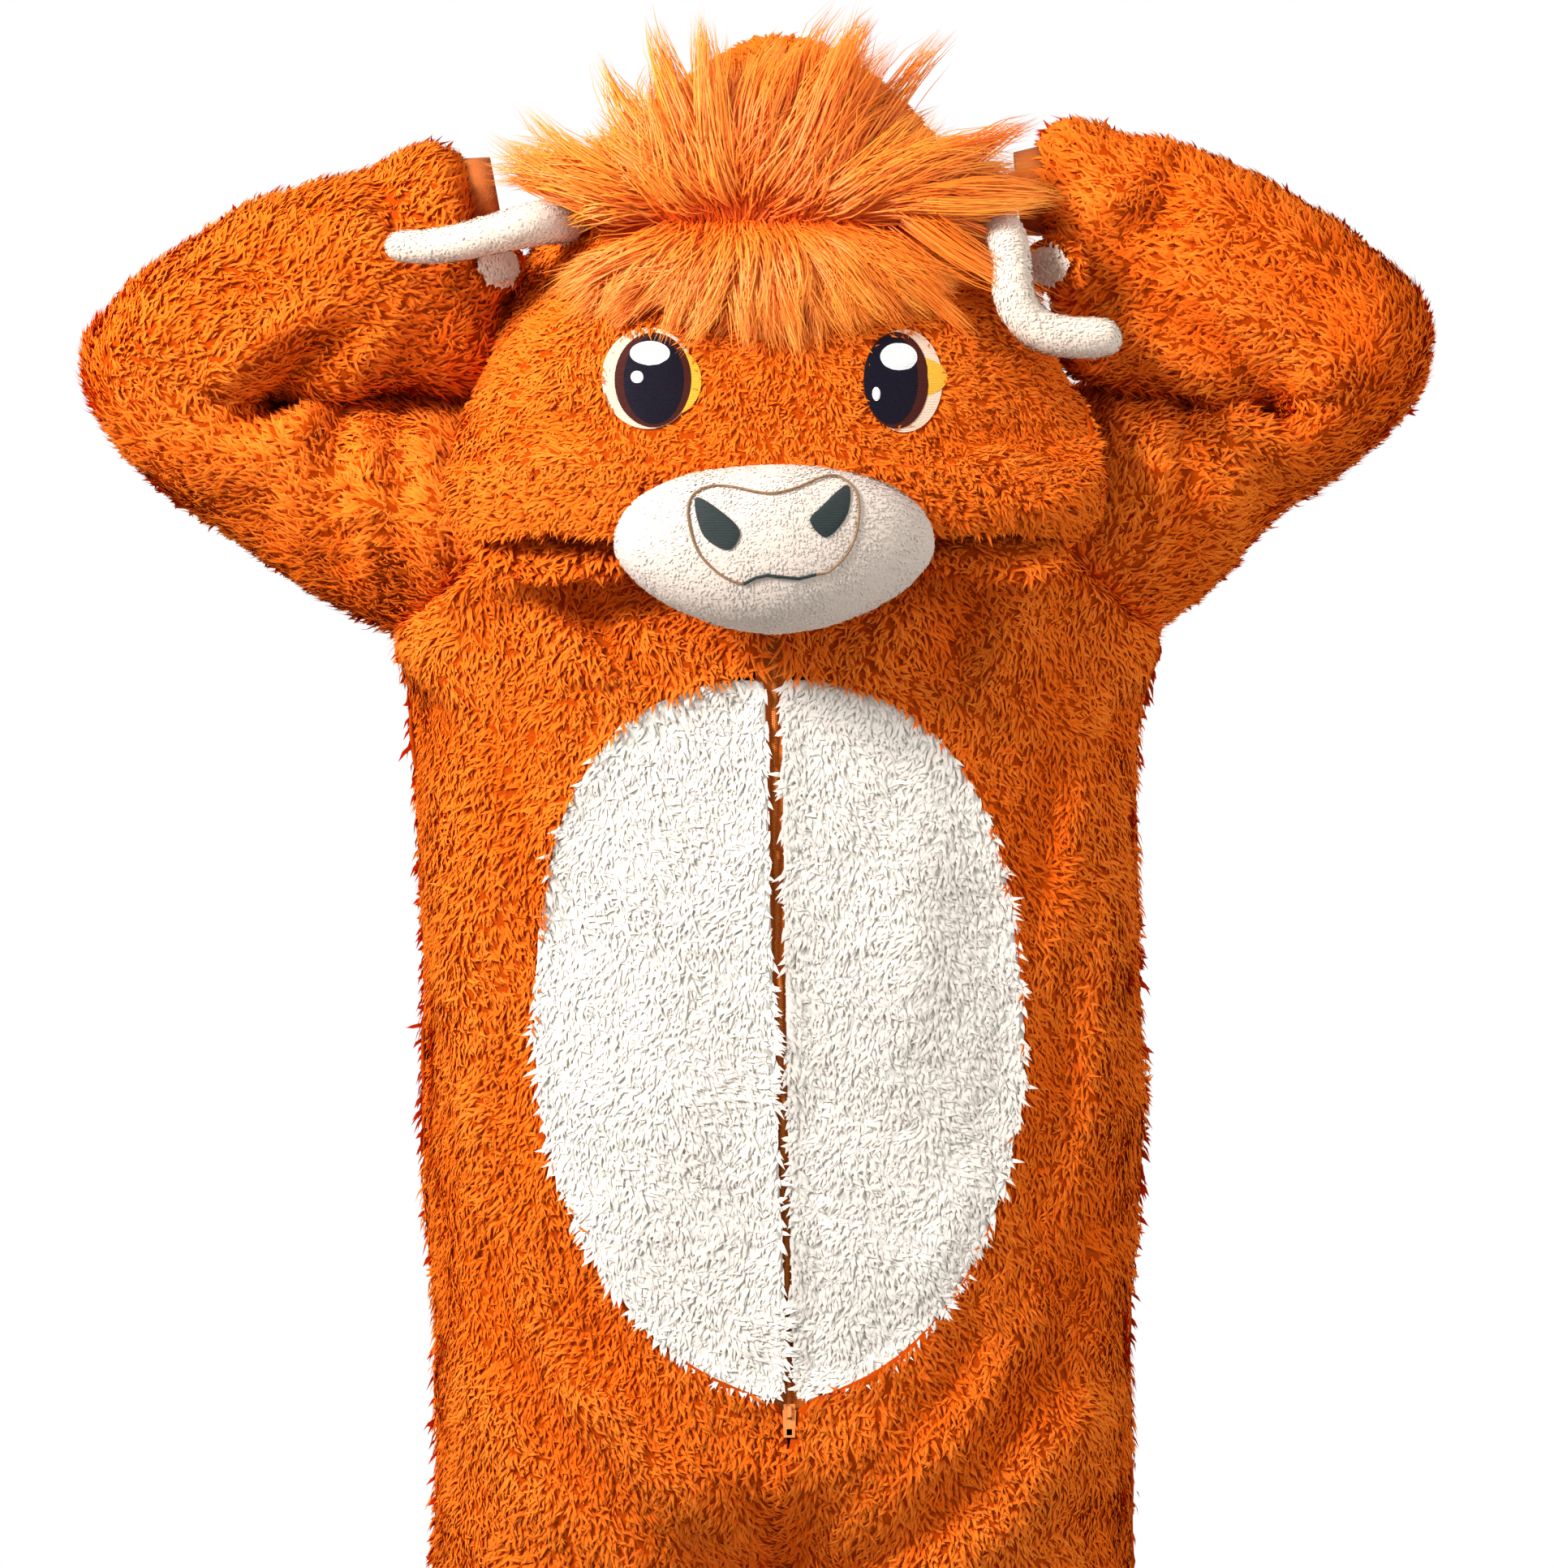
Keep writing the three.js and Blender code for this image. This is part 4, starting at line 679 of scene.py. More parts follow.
SLEEVE_CREASES = {
    "right": [
        ([(-301, 61), (-302, 0), (-298, -85)], 10, 11),
        ([(-316, 55), (-317, 0), (-313, -70)], 8, -10),
        ([(-258, 45), (-256, -20), (-250, -72)], 10, 10),
        ([(-272, 50), (-271, -10), (-267, -60)], 8, -9),
        ([(-345, 40), (-352, -10), (-350, -60)], 12, 8),
        ([(-382, 7), (-330, 60), (-274, 132)], 12, 10),
        ([(-402, 30), (-350, 80), (-300, 120)], 10, -9),
        ([(-430, 60), (-380, 100), (-320, 130)], 12, 9),
        ([(-455, 80), (-420, 130), (-370, 165)], 14, -6),
        ([(-300, 226), (-285, 190), (-262, 165)], 9, -9),
        ([(-318, 215), (-300, 178), (-275, 150)], 10, 9),
    ],
    "left": [
        ([(283, 60), (280, 0), (276, -70)], 10, 11),
        ([(298, 60), (296, 0), (290, -60)], 8, -10),
        ([(250, 50), (248, -10), (246, -60)], 9, 9),
        ([(330, 50), (336, 0), (332, -50)], 12, 8),
        ([(380, 10), (330, 60), (262, 118)], 12, 10),
        ([(395, 30), (340, 85), (280, 130)], 10, -9),
        ([(420, 62), (370, 104), (300, 150)], 12, 9),
        ([(440, 90), (405, 135), (350, 170)], 14, -6),
        ([(300, 238), (286, 200), (255, 175)], 9, -9),
        ([(285, 252), (262, 215), (236, 195)], 10, 9),
    ],
}


def along_line(line):
    """Nap that follows a line of points, in millimetres."""
    line = np.array(line) * MM
    middles = (line[1:] + line[:-1]) / 2
    headings = unit(line[1:] - line[:-1])

    def nap(points):
        gaps = np.linalg.norm(points[:, None] - middles[None], axis=2)
        return headings[np.argmin(gaps, axis=1)]

    return nap


def band(values, low, low_fade, high, high_fade):
    """1 between low and high, and 0 outside them, with a fade inside each end."""
    return np.clip((values - low) / low_fade, 0, 1) * np.clip((high - values) / high_fade, 0, 1)


# The crook of a raised sleeve, in metres: the stretch beside the hood and how far it moves in, the height
# of the crook itself and its ends from the hood to the elbow.
HOOD_SIDE_X = 0.232
HOOD_SIDE_Z = (0.045, 0.190)
TO_HOOD = 0.024
CROOK_Z = 0.073
CROOK_X = (0.19, 0.43)
CROOK_BY_HOOD_X = 0.222
# How far the crook's two sides close up, in millimetres, and how much further they do beside the hood.
CROOK_DEPTH = 8.0
CROOK_BY_HOOD = {"right": 20.0, "left": 30.0}
# How far the sleeve's backing lies under its solid's surface, in millimetres.
SLEEVE_DEPTH = 2.5


def bunched(skin, by_hood):
    """Presses the crook's cloth against the hood and itself, by_hood millimetres more beside the hood."""
    x, z = np.abs(skin.points[:, 0]), skin.points[:, 2]
    beside = band(z, HOOD_SIDE_Z[0], 0.025, HOOD_SIDE_Z[1], 0.03) * np.exp(-((x - HOOD_SIDE_X) / 0.03) ** 2)
    skin.points[:, 0] -= np.sign(skin.points[:, 0]) * TO_HOOD * beside
    crook = np.exp(-((z - CROOK_Z) / 0.030) ** 2) * band(x, CROOK_X[0], 0.02, CROOK_X[1], 0.02)
    deeper = CROOK_DEPTH + by_hood * np.exp(-((x - CROOK_BY_HOOD_X) / 0.037) ** 2)
    skin.shift(deeper * crook * np.clip(2 * np.abs(skin.normals[:, 2]), 0, 1))


for seed, side in enumerate(["right", "left"]):
    node = "sleeve_" + side
    skin = outside(node)
    bunched(skin, CROOK_BY_HOOD[side])
    folded(skin, SLEEVE_CREASES[side], drape=2.4, seed=70 + seed, side=-1)
    skin.inset(SLEEVE_DEPTH)
    fur = pile(node + "_pile", skin, ORANGE_PILE, "plush_orange", along_line(ARM_LINES[side]), 140 + seed,
               spacing=3.5, length=11, width=2.9, lean=0.45, clump=4.0)
    cloth(node, skin, ORANGE_KNIT, "plush_orange", "hung", [fur], flat=(0.50, 0.62), area=0.26)

# Cuffs
# Ribbed knit bands, doubled and sewn to the sleeve and leg ends, drawn in a little. The knit is too fine
# here for single ribs, so its stitches are only a slight unevenness of colour and surface.
KNIT, graph = shader("rib_knit", Roughness=0.9)
stitch = graph.node("TexNoise", inputs={"Vector": graph.node("TexCoord", output="Object"), "Scale": 900.0})
graph.feed(SURFACE, "Base Color", graph.mix(stitch, (0.40, 0.075, 0.008), (0.66, 0.17, 0.02)))
graph.feed(SURFACE, "Normal", graph.node("Bump", inputs={"Height": stitch, "Distance": 0.0005}))
CUFF_SHEETS = {"cuff_ankle": (0.34, 0.07), "cuff_wrist": (0.20, 0.022)}
for kind, flat in CUFF_SHEETS.items():
    for side in ["right", "left"]:
        node = f"{kind}_{side}"
        cloth(node, outside(node, levels=1), KNIT, "rib_knit", "stretched", [], flat)

# Hood
# Orange plush cut as the cow's head: a face, a crown, the sides and back, and a lower front. The face's free
# edge is turned under and hangs as an upper lip over the opening; at the left it rolls into a thick ridge.
HOOD_MIDDLE = (0, -0.02, 0.12)


def from_parting(points):
    """Nap that runs down the face and sweeps outwards."""
    flow = np.zeros_like(points)
    flow[:, 0] = 1.1 * np.tanh(points[:, 0] / 0.12)
    flow[:, 1] = 0.05
    flow[:, 2] = -1
    return flow


def to_the_back(points):
    """Nap that runs from the front of the crown to the back of the head."""
    flow = np.zeros_like(points)
    flow[:, 0] = 0.4 * np.tanh(points[:, 0] / 0.1)
    flow[:, 1] = 0.8
    flow[:, 2] = -0.5
    return flow


# The ovals of the face that the muzzle and the eyes cover, in millimetres: their middles and half sizes.
COVERED = [
    {"x": -2, "z": -48, "wide": 104, "tall": 56},
    {"x": -89.5, "z": 74.5, "wide": 36, "tall": 37},
    {"x": 92, "z": 72, "wide": 26, "tall": 35},
]


def under_features(points):
    """True where the muzzle and the embroidered eyes cover the face."""
    x, z = points[:, 0] / MM, points[:, 2] / MM
    covered = np.zeros(len(points), dtype=bool)
    for oval in COVERED:
        covered |= ((x - oval["x"]) / oval["wide"]) ** 2 + ((z - oval["z"]) / oval["tall"]) ** 2 < 1
    return covered


# raised is 1 or -1 for the pieces whose edge moves up or down to open the slots beside the muzzle.
HOOD = {
    "hood_face": {
        "nap": from_parting,
        "pile": {"spacing": 2.8, "length": 8.5, "width": 2.3, "bare": under_features},
        "creases": [
            ([(-222, 0), (-160, 14), (-112, 2)], 12, 7),
            ([(-215, 30), (-160, 44), (-120, 34)], 14, -5),
            ([(112, 4), (160, 16), (228, 0)], 12, 9),
            ([(116, 26), (165, 36), (215, 24)], 11, -7),
        ],
        "raised": 1,
        "sheet": {"flat": (0.50, 0.30), "area": 0.13},
    },
    "hood_crown": {
        "nap": to_the_back,
        "pile": {"spacing": 4.0, "length": 12, "width": 3.6},
        "creases": [([(-60, 260), (10, 290), (70, 250)], 20, 4)],
        "raised": 0,
        "sheet": {"flat": (0.38, 0.34), "area": 0.115},
    },
    "hood_back": {
        "nap": down,
        "pile": {"spacing": 4.6, "length": 12, "width": 4.0},
        "creases": [([(-80, 120), (0, 90), (80, 110)], 18, 6)],
        "raised": 0,
        "sheet": {"flat": (0.46, 0.26), "area": 0.085},
    },
    "hood_chin": {
        "nap": down,
        "pile": {"spacing": 3.7, "length": 11, "width": 3.3},
        "creases": [([(-120, -10), (0, -40), (120, -14)], 12, -5)],
        "raised": -1,
        "sheet": {"flat": (0.46, 0.16), "area": 0.064},
    },
}


def solid_skin(node):
    """The whole surface of a node's solid, smoothed."""
    return smoothed(welded(node), 2)


# The slots beside the muzzle, in metres: their height and place each side, and how far each edge moves.
SLOT_Z = -0.048
SLOT_X = 0.165
SLOT_OPENING = 0.009


def opened(skin, raised):
    """Opens the slots beside the muzzle by moving the edge of a skin up or down."""
    x, z = np.abs(skin.points[:, 0]), skin.points[:, 2]
    near_edge = np.exp(-((z - SLOT_Z) / 0.022) ** 2)
    skin.points[:, 2] += SLOT_OPENING * raised * near_edge * np.exp(-((x - SLOT_X) / 0.045) ** 2)
    skin.update()


hood_skins = {}
for seed, (node, row) in enumerate(HOOD.items()):
    skin = outside(node, middle=HOOD_MIDDLE)
    opened(skin, row["raised"])
    folded(skin, row["creases"], drape=1.4, seed=80 + seed)
    skin.inset(PILE_DEPTH)
    hood_skins[node] = skin
    # The chin's pile grows on its turned edge too, and so on the whole solid.
    grown = skin
    if node == "hood_chin":
        grown = solid_skin(node)
        opened(grown, row["raised"])
    fur = pile(node + "_pile", grown, ORANGE_PILE, "plush_orange", row["nap"], 160 + seed, **row["pile"])
    cloth(node, skin, ORANGE_KNIT, "plush_orange", "draped", [fur], **row["sheet"])

# The height that the pile of the turned upper lip reaches, in metres.
LIP_TOP = 0.012


def above_lip(points):
    return points[:, 2] > LIP_TOP


lips = solid_skin("hood_face")
opened(lips, HOOD["hood_face"]["raised"])
pile("hood_lip_pile", lips, ORANGE_PILE, "plush_orange", from_parting, 166, spacing=3.0, length=9, width=2.6,
     lean=0.6, bare=above_lip)

# Muzzle
# A stuffed pad of short cream plush, sewn round its edge to the hood's face. The nostrils are dark
# leaf-shaped patches, and a brown cord outline and a dark mouth line are stitched through the padding.
SHORT_PILE = pile_material("plush_short", (0.74, 0.62, 0.53), (0.78, 0.67, 0.58), (0.84, 0.74, 0.65))
MUZZLE_MIDDLE = np.array([-0.002, -0.24, -0.048])
# How far a stuffed piece's cloth lies under its solid's surface, in millimetres, for the short pile.
SHORT_DEPTH = 1.2


def stuffed(node, material, slot, nap, seed, spacing, length):
    """A stuffed piece with short pile all round."""
    skin = solid_skin(node)
    skin.shift(-SHORT_DEPTH)
    made = piece(node + "_stuffed", skin.points, skin.faces, material)
    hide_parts(node)
    pile(node + "_pile", skin, material, slot, nap, seed, spacing, length, 0.8 * length,
         lean=0.28, clump=0.8, crisp=0.15)
    return skin


def outwards(points):
    """Nap that runs from the middle of the muzzle to its edge, and down."""
    flow = points - MUZZLE_MIDDLE
    flow[:, 2] -= 0.04
    return flow


muzzle = stuffed("muzzle", SHORT_PILE, "plush_cream", outwards, 200, spacing=2.3, length=3.2)
muzzle_tree = muzzle.tree()


def thread_material(name, low, high):
    """Embroidery thread: fine satin stitches side by side."""
    material, graph = shader(name, Roughness=0.5, Specular_IOR_Level=0.2)
    place = graph.node("TexCoord", output="Object")
    weave = graph.node("TexNoise", inputs={"Vector": place, "Scale": 420.0, "Detail": 1.0})
    rows = graph.node("TexWave", {"bands_direction": "Z"},
                      {"Vector": place, "Scale": 260.0, "Distortion": 3.0}, output="Fac")
    graph.feed(SURFACE, "Base Color", graph.mix(rows * 0.6 + weave * 0.4, low, high))
    graph.feed(SURFACE, "Normal", graph.node("Bump", inputs={"Height": rows, "Distance": 0.0004}))
    return material


def rounded(corners, count):
    """A smooth closed curve of count points that passes through corners of (x, z)."""
    corners = np.array(corners, dtype=float)
    total = len(corners)
    result = []
    for k in range(count):
        at = k / count * total
        i = int(at)
        t = at - i
        before, start, end, after = (corners[(i + j) % total] for j in (-1, 0, 1, 2))
        result.append(0.5 * (2 * start + (end - before) * t
                             + (2 * before - 5 * start + 4 * end - after) * t * t
                             + (3 * start - before - 3 * end + after) * t ** 3))
    return np.array(result)


def on_front(tree, x, z, away):
    """The point that far outside a surface, straight behind (x, z) as seen from the front, in metres.
    Beside the surface it is at its nearest point."""
    hit, normal, _, _ = tree.ray_cast(Vector((x * MM, -1, z * MM)), Vector((0, 1, 0)))
    if hit is None:
        hit, normal, _, _ = tree.find_nearest(Vector((x * MM, -0.2, z * MM)))
    return hit + normal * (away * MM)


PATCH_RINGS = 6


def patch(name, tree, outline, away, thick, material):
    """An embroidered area: a domed sheet of stitches inside an outline of (x, z)."""
    middle = outline.mean(axis=0)
    points = [on_front(tree, *middle, away + thick)]
    for ring in range(1, PATCH_RINGS + 1):
        share = ring / PATCH_RINGS
        for corner in outline:
            spot = middle + (corner - middle) * share
            points.append(on_front(tree, *spot, away + thick * (1 - share ** 6)))
    count = len(outline)
    faces = [(0, 1 + (k + 1) % count, 1 + k) for k in range(count)]
    for ring in range(PATCH_RINGS - 1):
        low, high = 1 + ring * count, 1 + (ring + 1) * count
        faces += [(low + k, low + (k + 1) % count, high + (k + 1) % count, high + k) for k in range(count)]
    piece(name, points, faces, material)


CORD_SIDES = 6


def cord_line(name, tree, path, radius, away, material):
    """A raised line of stitches along a path of (x, z)."""
    line = [on_front(tree, x, z, away) for x, z in path]
    last = len(line) - 1
    points = []
    for k, point in enumerate(line):
        along = (line[min(k + 1, last)] - line[max(k - 1, 0)]).normalized()
        across = along.cross(Vector((0, -1, 0))).normalized()
        out = across.cross(along)
        for side in range(CORD_SIDES):
            angle = side / CORD_SIDES * 2 * math.pi
            points.append(point + (across * math.cos(angle) + out * math.sin(angle)) * radius * MM)
    faces = []
    for k in range(last):
        here, there = k * CORD_SIDES, (k + 1) * CORD_SIDES
        for side in range(CORD_SIDES):
            after = (side + 1) % CORD_SIDES
            faces.append((here + side, here + after, there + after, there + side))
    piece(name, points, faces, material)


# The photo pixel at the origin, and a pixel's size in millimetres.
ORIGIN_PIXEL = (957.5, 596.7)
PIXEL = 0.6


def spots(*pixels):
    """Places in the photo, in pixels, as (x, z) in millimetres."""
    return [((px - ORIGIN_PIXEL[0]) * PIXEL, (ORIGIN_PIXEL[1] - py) * PIXEL) for px, py in pixels]


DARK_THREAD = thread_material("thread_dark", (0.018, 0.028, 0.028), (0.045, 0.058, 0.056))
BROWN_THREAD = thread_material("thread_brown", (0.22, 0.11, 0.05), (0.42, 0.25, 0.13))
NOSTRILS = {
    "right": spots((860, 622), (893, 640), (913, 663), (899, 684), (869, 666)),
    "left": spots((1042, 607), (1010, 633), (997, 650), (1017, 669), (1042, 641)),
}
NOSTRIL_POINTS = 48
for side, outline in NOSTRILS.items():
    patch("nostril_" + side, muzzle_tree, rounded(outline, NOSTRIL_POINTS), away=1.6, thick=0.8,
          material=DARK_THREAD)
NOSE = spots((918, 724), (869, 694), (852, 650), (855, 622), (875, 609), (902, 609), (946, 617), (979, 611),
             (1012, 598), (1034, 598), (1053, 617), (1055, 650), (1045, 683), (1023, 707), (1004, 713))
# The outline is open at the mouth: the stretch from its last corner to its first is left out.
STRETCH = 10
NOSE_LINE = rounded(NOSE, STRETCH * len(NOSE))[:1 - STRETCH]
cord_line("nose_outline", muzzle_tree, NOSE_LINE, radius=0.9, away=1.8, material=BROWN_THREAD)
MOUTH = spots((918, 724), (932, 717), (946, 714), (962, 716), (984, 718), (1004, 713))
cord_line("mouth_line", muzzle_tree, MOUTH, radius=1.2, away=1.9, material=DARK_THREAD)

# Eyes
# Embroidered in satin stitch on the face: a peach crescent, a brown ring, a dark iris and two highlights,
# with yellow stitches beside them. The pile is trimmed under them and laps over their edges.
face_tree = hood_skins["hood_face"].tree()
THREADS = {
    "peach": thread_material("thread_peach", (0.86, 0.55, 0.38), (0.95, 0.72, 0.56)),
    "brown": thread_material("thread_ring", (0.040, 0.006, 0.004), (0.090, 0.014, 0.008)),
    "iris": thread_material("thread_iris", (0.003, 0.002, 0.007), (0.008, 0.006, 0.018)),
    "white": thread_material("thread_white", (0.80, 0.78, 0.76), (0.95, 0.93, 0.92)),
    "yellow": thread_material("thread_yellow", (0.85, 0.35, 0.02), (0.95, 0.55, 0.06)),
}
OVAL_POINTS = 44


def oval(left, right, top, bottom):
    """A ring of (x, z) that fills a box of photo pixels."""
    (x0, z0), (x1, z1) = spots((left, top), (right, bottom))
    turns = np.arange(OVAL_POINTS) / OVAL_POINTS * 2 * math.pi
    across = (x0 + x1) / 2 + (x1 - x0) / 2 * np.cos(turns)
    upright = (z0 + z1) / 2 + (z0 - z1) / 2 * np.sin(turns)
    return np.stack([across, upright], 1)


# Each layer's thread, and its left, right, top and bottom in photo pixels.
EYE_LAYERS = {
    "right": [("peach", (745, 858, 412, 536)), ("yellow", (790, 866, 436, 520)),
              ("brown", (761, 854, 419, 534)), ("iris", (772, 845, 424, 530)),
              ("white", (780, 828, 430, 459)), ("white", (781, 796, 466, 481))],
    "left": [("peach", (1064, 1158, 414, 540)), ("yellow", (1062, 1164, 446, 500)),
             ("brown", (1062, 1141, 418, 536)), ("iris", (1063, 1128, 422, 531)),
             ("white", (1082, 1127, 432, 466)), ("white", (1072, 1082, 486, 503))],
}
# How far the first layer lies outside the face's backing, each next layer over it, and how thick they are.
EYE_LIFT = 1.6
LAYER_LIFT = 0.45
LAYER_THICK = 0.5
for side, layers in EYE_LAYERS.items():
    for level, (thread, box) in enumerate(layers):
        patch(f"eye_{side}_{level}", face_tree, oval(*box), EYE_LIFT + LAYER_LIFT * level, LAYER_THICK,
              THREADS[thread])

# Horns
# Stuffed tubes of short cream plush, sewn to the hood on the hair seam. They curve out and are round at the
# tips, and their pile lies outwards and a little down.
HORN_PILE = pile_material("plush_horn", (0.80, 0.66, 0.54), (0.84, 0.71, 0.59), (0.92, 0.81, 0.69))


def sideways(way):
    """Nap that lies to one side, -1 or 1, and a little down and forwards."""
    return lambda points: np.tile([way, -0.2, -0.3], (len(points), 1))


SIDES = {"right": -1, "left": 1}
for seed, (side, way) in enumerate(SIDES.items()):
    stuffed("horn_" + side, HORN_PILE, "plush_cream", sideways(way), 220 + seed,
            spacing=2.4, length=3.4)

# Ears
# Flat leaves of orange plush with a little filling, and a cream leaf sewn on the front of each. The pile
# lies towards the ears' tips.
EAR_DEPTH = 2
for seed, (side, way) in enumerate(SIDES.items()):
    skin = solid_skin("ear_" + side)
    skin.shift(-EAR_DEPTH)
    made = piece(f"ear_{side}_stuffed", skin.points, skin.faces, ORANGE_KNIT)
    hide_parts("ear_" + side)
    pile(f"ear_{side}_pile", skin, ORANGE_PILE, "plush_orange", sideways(way), 240 + seed,
         spacing=3.2, length=8, width=2.6)
    stuffed("ear_inner_" + side, HORN_PILE, "plush_cream", sideways(way), 250 + seed,
            spacing=2.6, length=5)

# Hair
# Long orange pile in two bands, sewn to the hood on each side of the hair seam: the topknot stands up and
# fans out over the crown, and the fringe falls over the face. Fine strands gather in pointed locks.
HAIR, graph = shader("hair", Roughness=0.45, Specular_IOR_Level=0.3)
# Painted shade: the strands darken towards the root colour, where they lie under one another. Towards the
# tips each lock has its own tone.
hair_tip = graph.mix(attribute(graph, "tone"), (1.0, 0.18, 0.007), (1.0, 0.42, 0.048))
hair_colour = graph.mix(attribute(graph, "along") ** 0.5, (0.96, 0.100, 0.002), hair_tip)
graph.feed(SURFACE, "Base Color", hair_colour)
# A strand's steps from root to tip, and half its width at the root, in metres.
STRAND_STEPS = 6
STRAND_HALF = 0.00055
# How far a lock's strands stand apart: at the roots in metres, then as shares of the lock's own spread.
ROOT_SPREAD = np.array([0.006, 0.002, 0.003])
MIDDLE_SPREAD = np.array([1, 0.7, 0.8])
TIP_SPREAD = 0.22
# The backing strip in millimetres: its ends, its steps and how far it lies outside the hood.
STRIP_PLACES = range(-126, 127, 21)
STRIP_AWAY = 2.5


def hair(name, node, tree, locks, each, spread, seed, root_z, half_strip):
    """Locks of strands on a backing strip. Each lock is (start, middle, tip) in metres; its strands leave
    the root side by side and close up towards its tip. root_z and half_strip, in millimetres, are the
    strip's height and half its width."""
    draw = np.random.default_rng(seed)
    starts, middles, tips = (np.repeat(np.array(ends), each, axis=0) for ends in zip(*locks))
    count = len(starts)

    # Each strand's own curve and length: a at the root, b by the middle and c at the tip.
    jitter = draw.normal(size=(count, 3))
    lock_tone = np.repeat(draw.random(len(locks)), each)
    reach = 0.70 + 0.32 * draw.random((count, 1)) ** 0.8
    a = starts + jitter * ROOT_SPREAD
    b = middles + jitter * spread * MIDDLE_SPREAD + draw.normal(size=(count, 3)) * 0.003
    c = tips + jitter * spread * TIP_SPREAD + draw.normal(size=(count, 3)) * 0.0035
    b = a + (b - a) * reach ** 0.5
    c = a + (c - a) * reach

    # The wave of its lock, which all its strands share, and a little of its own.
    lock_bend = np.repeat(draw.normal(size=(len(locks), 3)), each, axis=0) * 0.006
    wave = lock_bend + draw.normal(size=(count, 3)) * 0.0015
    phase = np.repeat(draw.uniform(0, 6.28, (len(locks), 1)), each, axis=0)
    rows = []
    shade = []
    along = []
    for step in range(STRAND_STEPS + 1):
        t = step / STRAND_STEPS
        point = a * (1 - t) ** 2 + b * 2 * t * (1 - t) + c * t * t
        point = point + wave * np.sin(phase + 5 * t) * t
        heading = unit((b - a) * (1 - t) + (c - b) * t)
        out = unit(point - np.array(HOOD_MIDDLE))
        across = unit(np.cross(heading, out + 0.3 * unit(jitter)))
        half = STRAND_HALF * (1 - t ** 3) ** 0.7 * (0.8 + 0.4 * draw.random((count, 1)))
        shading = np.cross(across, heading) + jitter * 0.10
        if step < STRAND_STEPS:
            rows += [point - across * half, point + across * half]
            shade += [shading - across * 0.5, shading + across * 0.5]
            along += [t, t]
        else:
            rows.append(point)
            shade.append(shading)
            along.append(t)
    per = len(rows)
    first = (np.arange(count) * per).reshape(-1, 1)
    faces = []
    for low in range(0, per - 3, 2):
        faces += [first + [low, low + 1, low + 3], first + [low, low + 3, low + 2]]
    faces.append(first + [per - 3, per - 2, per - 1])
    tones = np.clip(0.5 * draw.random(count) + 0.5 * lock_tone, 0, 1)

    strip = [tuple(on_front(tree, x, z, STRIP_AWAY)) for z in (root_z + half_strip, root_z - half_strip)
             for x in STRIP_PLACES]
    columns = len(STRIP_PLACES)
    base = count * per
    upper = [[base + k, base + columns + k, base + columns + k + 1] for k in range(columns - 1)]
    lower = [[base + k, base + columns + k + 1, base + k + 1] for k in range(columns - 1)]
    points = np.concatenate([np.stack(rows, axis=1).reshape(-1, 3), np.array(strip)])
    strip_shading = np.tile([0, -1, 0.3], (len(strip), 1))
    shading = np.concatenate([np.stack(shade, axis=1).reshape(-1, 3), strip_shading])
    faces = np.concatenate(faces + [np.array(upper + lower)])
    no_pile = np.zeros(len(strip))
    made = strands(name, points, faces, shading, np.concatenate([np.tile(along, count), no_pile]),
                   np.concatenate([np.repeat(tones, per), no_pile]), HAIR)
    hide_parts(node)


TOPKNOT_LOCKS = 130
TOPKNOT_STRANDS = 84
TOPKNOT_LAYERS = 4
# The share of locks that are loose wisps and stand out beyond the mass.
WISPS = 0.22
# The sweep of the topknot: place along its strip, heading in degrees, length of the mass and of the wisps.
SWEEP = np.array([
    (-1.0, 168, 78, 142), (-0.6, 128, 92, 150), (-0.3, 92, 108, 162), (0.0, 68, 134, 168),
    (0.3, 52, 116, 170), (0.6, 34, 106, 165), (0.85, 14, 122, 165), (1.0, -6, 138, 156),
])
# The middle of both strips from side to side, and each strip's height, in millimetres.
STRIP_X = -10
TOPKNOT_Z = 200
FRINGE_Z = 178


def topknot_lock(k, tree, draw):
    """A lock's start, middle and tip. Layers behind one another stand up from the strip, and the last one
    bulges forward over the seam."""
    across = np.clip((k + 0.5) / TOPKNOT_LOCKS * 2 - 1 + 0.06 * draw.normal(), -1, 1)
    layer = k % TOPKNOT_LAYERS
    root = 88 * across + STRIP_X
    start = np.array(on_front(tree, root, TOPKNOT_Z - 10 + 4 * layer, 3))
    heading, mass, loose = (np.interp(across, SWEEP[:, 0], column) for column in SWEEP.T[1:])
    turn = math.radians(heading + 11 * draw.normal())
    if draw.random() < WISPS:
        radius = loose * (0.86 + 0.16 * draw.random())
    else:
        radius = mass * (0.84 + 0.26 * draw.random())
    depth = -70 - 22 * layer + 10 * draw.normal()
    height = TOPKNOT_Z - 8 + radius * math.sin(turn) - 8 * abs(across)
    tip = np.array([root + radius * math.cos(turn), depth, height]) * MM
    middle = start * 0.5 + tip * 0.5
    middle[0] -= 0.014 * (1 - abs(across)) + 0.006 * draw.normal()
    middle[1] = min(middle[1], -0.150) - 0.018 - 0.013 * layer
    middle[2] += 0.020 - 0.003 * layer + 0.006 * draw.normal()
    if layer == TOPKNOT_LAYERS - 1:
        middle = start + (tip - start) * 0.30
        middle[1] = start[1] - 0.046
        middle[2] = start[2] - 0.004 + 0.006 * draw.normal()
    return start, middle, tip


draw = np.random.default_rng(400)
crown_tree = hood_skins["hood_crown"].tree()
topknot = [topknot_lock(k, crown_tree, draw) for k in range(TOPKNOT_LOCKS)]
hair("hair_topknot_strands", "hair_topknot", crown_tree, topknot, TOPKNOT_STRANDS,
     spread=0.010, seed=300, root_z=TOPKNOT_Z, half_strip=8)

FRINGE_LOCKS = 96
FRINGE_STRANDS = 70
FRINGE_LAYERS = 3
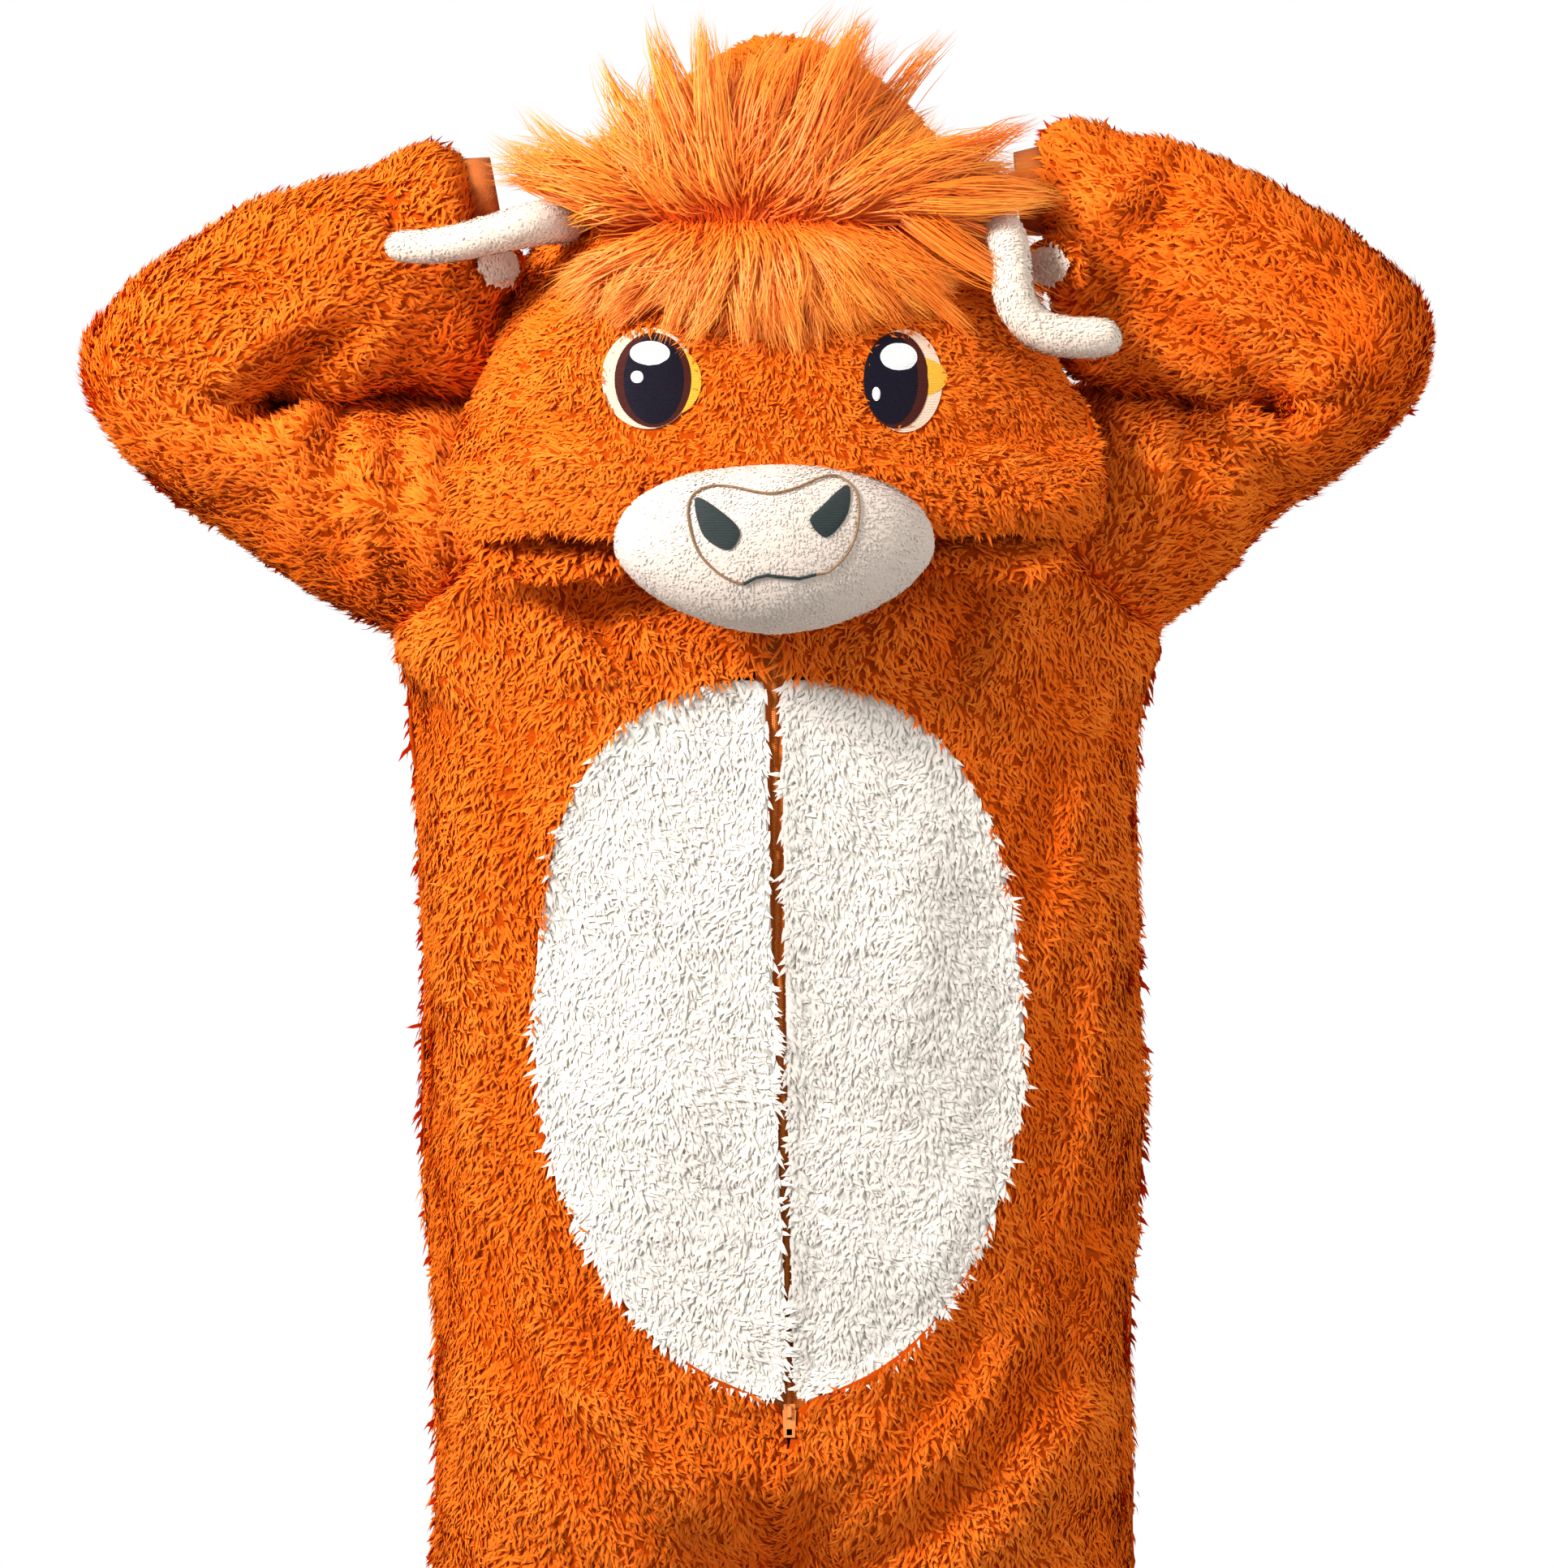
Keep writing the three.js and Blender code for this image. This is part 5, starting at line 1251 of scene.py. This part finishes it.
# How far from the middle the tips at each end of the fringe hang, in millimetres.
REACH_RIGHT = 168
REACH_LEFT = 146


def fringe_lock(k, tree, draw):
    """A lock's start, middle and tip. It falls from the strip over the forehead, and ends higher over the
    eyes and at the sides."""
    across = np.clip((k + 0.5) / FRINGE_LOCKS * 2 - 1 + 0.05 * draw.normal(), -1, 1)
    layer = k % FRINGE_LAYERS
    start = np.array(on_front(tree, 72 * across + STRIP_X, FRINGE_Z + 5 - 3 * layer, 4))
    reach = REACH_RIGHT if across < 0 else REACH_LEFT
    over_eye = math.exp(-((abs(across) - 0.62) / 0.22) ** 2)
    tip_z = 94 + 7 * layer + 24 * across ** 2 + 14 * over_eye + 7 * draw.normal()
    tip = np.array(on_front(tree, reach * across + 6 * draw.normal(), tip_z, 9 + 5 * layer))
    middle_x = 0.60 * reach * across + 7 * draw.normal()
    middle = np.array(on_front(tree, middle_x, 152 + 4 * layer, 18 + 7 * layer))
    return start, middle, tip


fringe = [fringe_lock(k, face_tree, draw) for k in range(FRINGE_LOCKS)]
hair("hair_fringe_strands", "hair_fringe", face_tree, fringe, FRINGE_STRANDS,
     spread=0.007, seed=310, root_z=FRINGE_Z, half_strip=7)

# Zip
# A nylon coil zip on woven orange tapes, sewn behind the edges of the front panels and the patch. It closes
# with two sliders; each slider's bridge holds a flat pull tab with a slot.
TAPE, graph = shader("zip_tape", Roughness=0.8)
weave = graph.node("TexWave", {"bands_direction": "Z"},
                   {"Vector": graph.node("TexCoord", output="Object"), "Scale": 300.0}, output="Fac")
graph.feed(SURFACE, "Base Color", graph.mix(weave, (0.80, 0.17, 0.012), (0.95, 0.26, 0.022)))
graph.feed(SURFACE, "Normal", graph.node("Bump", inputs={"Height": weave, "Distance": 0.0003}))
COIL = shader("zip_coil", Roughness=0.45, Base_Color=(0.95, 0.27, 0.03, 1))[0]
ENAMEL = shader("zip_enamel", Roughness=0.35, Base_Color=(0.80, 0.26, 0.06, 1))[0]


def coated(node, material):
    """Gives a node of the frame this material alone."""
    nodes[node].data.materials.clear()
    nodes[node].data.materials.append(material)
    return nodes[node]


for side in SIDES:
    tape = coated("zip_tape_" + side, TAPE)
for node in ["zip_slider_lower", "zip_pull_lower", "zip_slider_upper", "zip_pull_upper"]:
    edge = coated(node, ENAMEL).modifiers.new("edge", "BEVEL")
    edge.width = 0.0003
    edge.segments = 2

# The teeth take turns from both tapes. A tooth is a block from the middle of the chain to its side: its
# inner and outer ends, and at each the front and back, in millimetres from the middle of the chain's front.
TOOTH_PITCH = 1.5
TOOTH_HALF = 0.5
TOOTH_INNER = {"x": -0.4, "front": -0.2, "back": 0.9}
TOOTH_OUTER = {"x": 2.2, "front": 0.5, "back": 1.2}
TOOTH_CORNERS = [(TOOTH_INNER, -TOOTH_HALF), (TOOTH_OUTER, -TOOTH_HALF), (TOOTH_OUTER, TOOTH_HALF),
                 (TOOTH_INNER, TOOTH_HALF)]
TOOTH_FACES = [(0, 1, 2, 3), (7, 6, 5, 4), (0, 4, 5, 1), (1, 5, 6, 2), (2, 6, 7, 3), (3, 7, 4, 0)]
chain_points = np.array([v.co for v in nodes["zip_chain"].data.vertices])
chain_low, chain_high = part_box("zip_chain")
# How far the teeth keep from the chain's ends, in millimetres, and how many of its points place a tooth.
CHAIN_END = 1
NEAREST = 8
teeth_points = []
teeth_faces = []
z = chain_high[2] / MM - CHAIN_END
side = 1
while z > chain_low[2] / MM + CHAIN_END:
    near_points = chain_points[np.argsort(np.abs(chain_points[:, 2] - z * MM))[:NEAREST]]
    x, front = near_points[:, 0].mean() / MM, near_points[:, 1].min() / MM
    first = len(teeth_points)
    for depth in ("front", "back"):
        for end, dz in TOOTH_CORNERS:
            teeth_points.append(((x + side * end["x"]) * MM, (front + end[depth]) * MM, (z + dz) * MM))
    for corners in TOOTH_FACES:
        teeth_faces.append(tuple(first + i for i in (corners if side > 0 else corners[::-1])))
    side = -side
    z -= TOOTH_PITCH / 2
teeth = piece("zip_teeth", teeth_points, teeth_faces, COIL)
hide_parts("zip_chain")
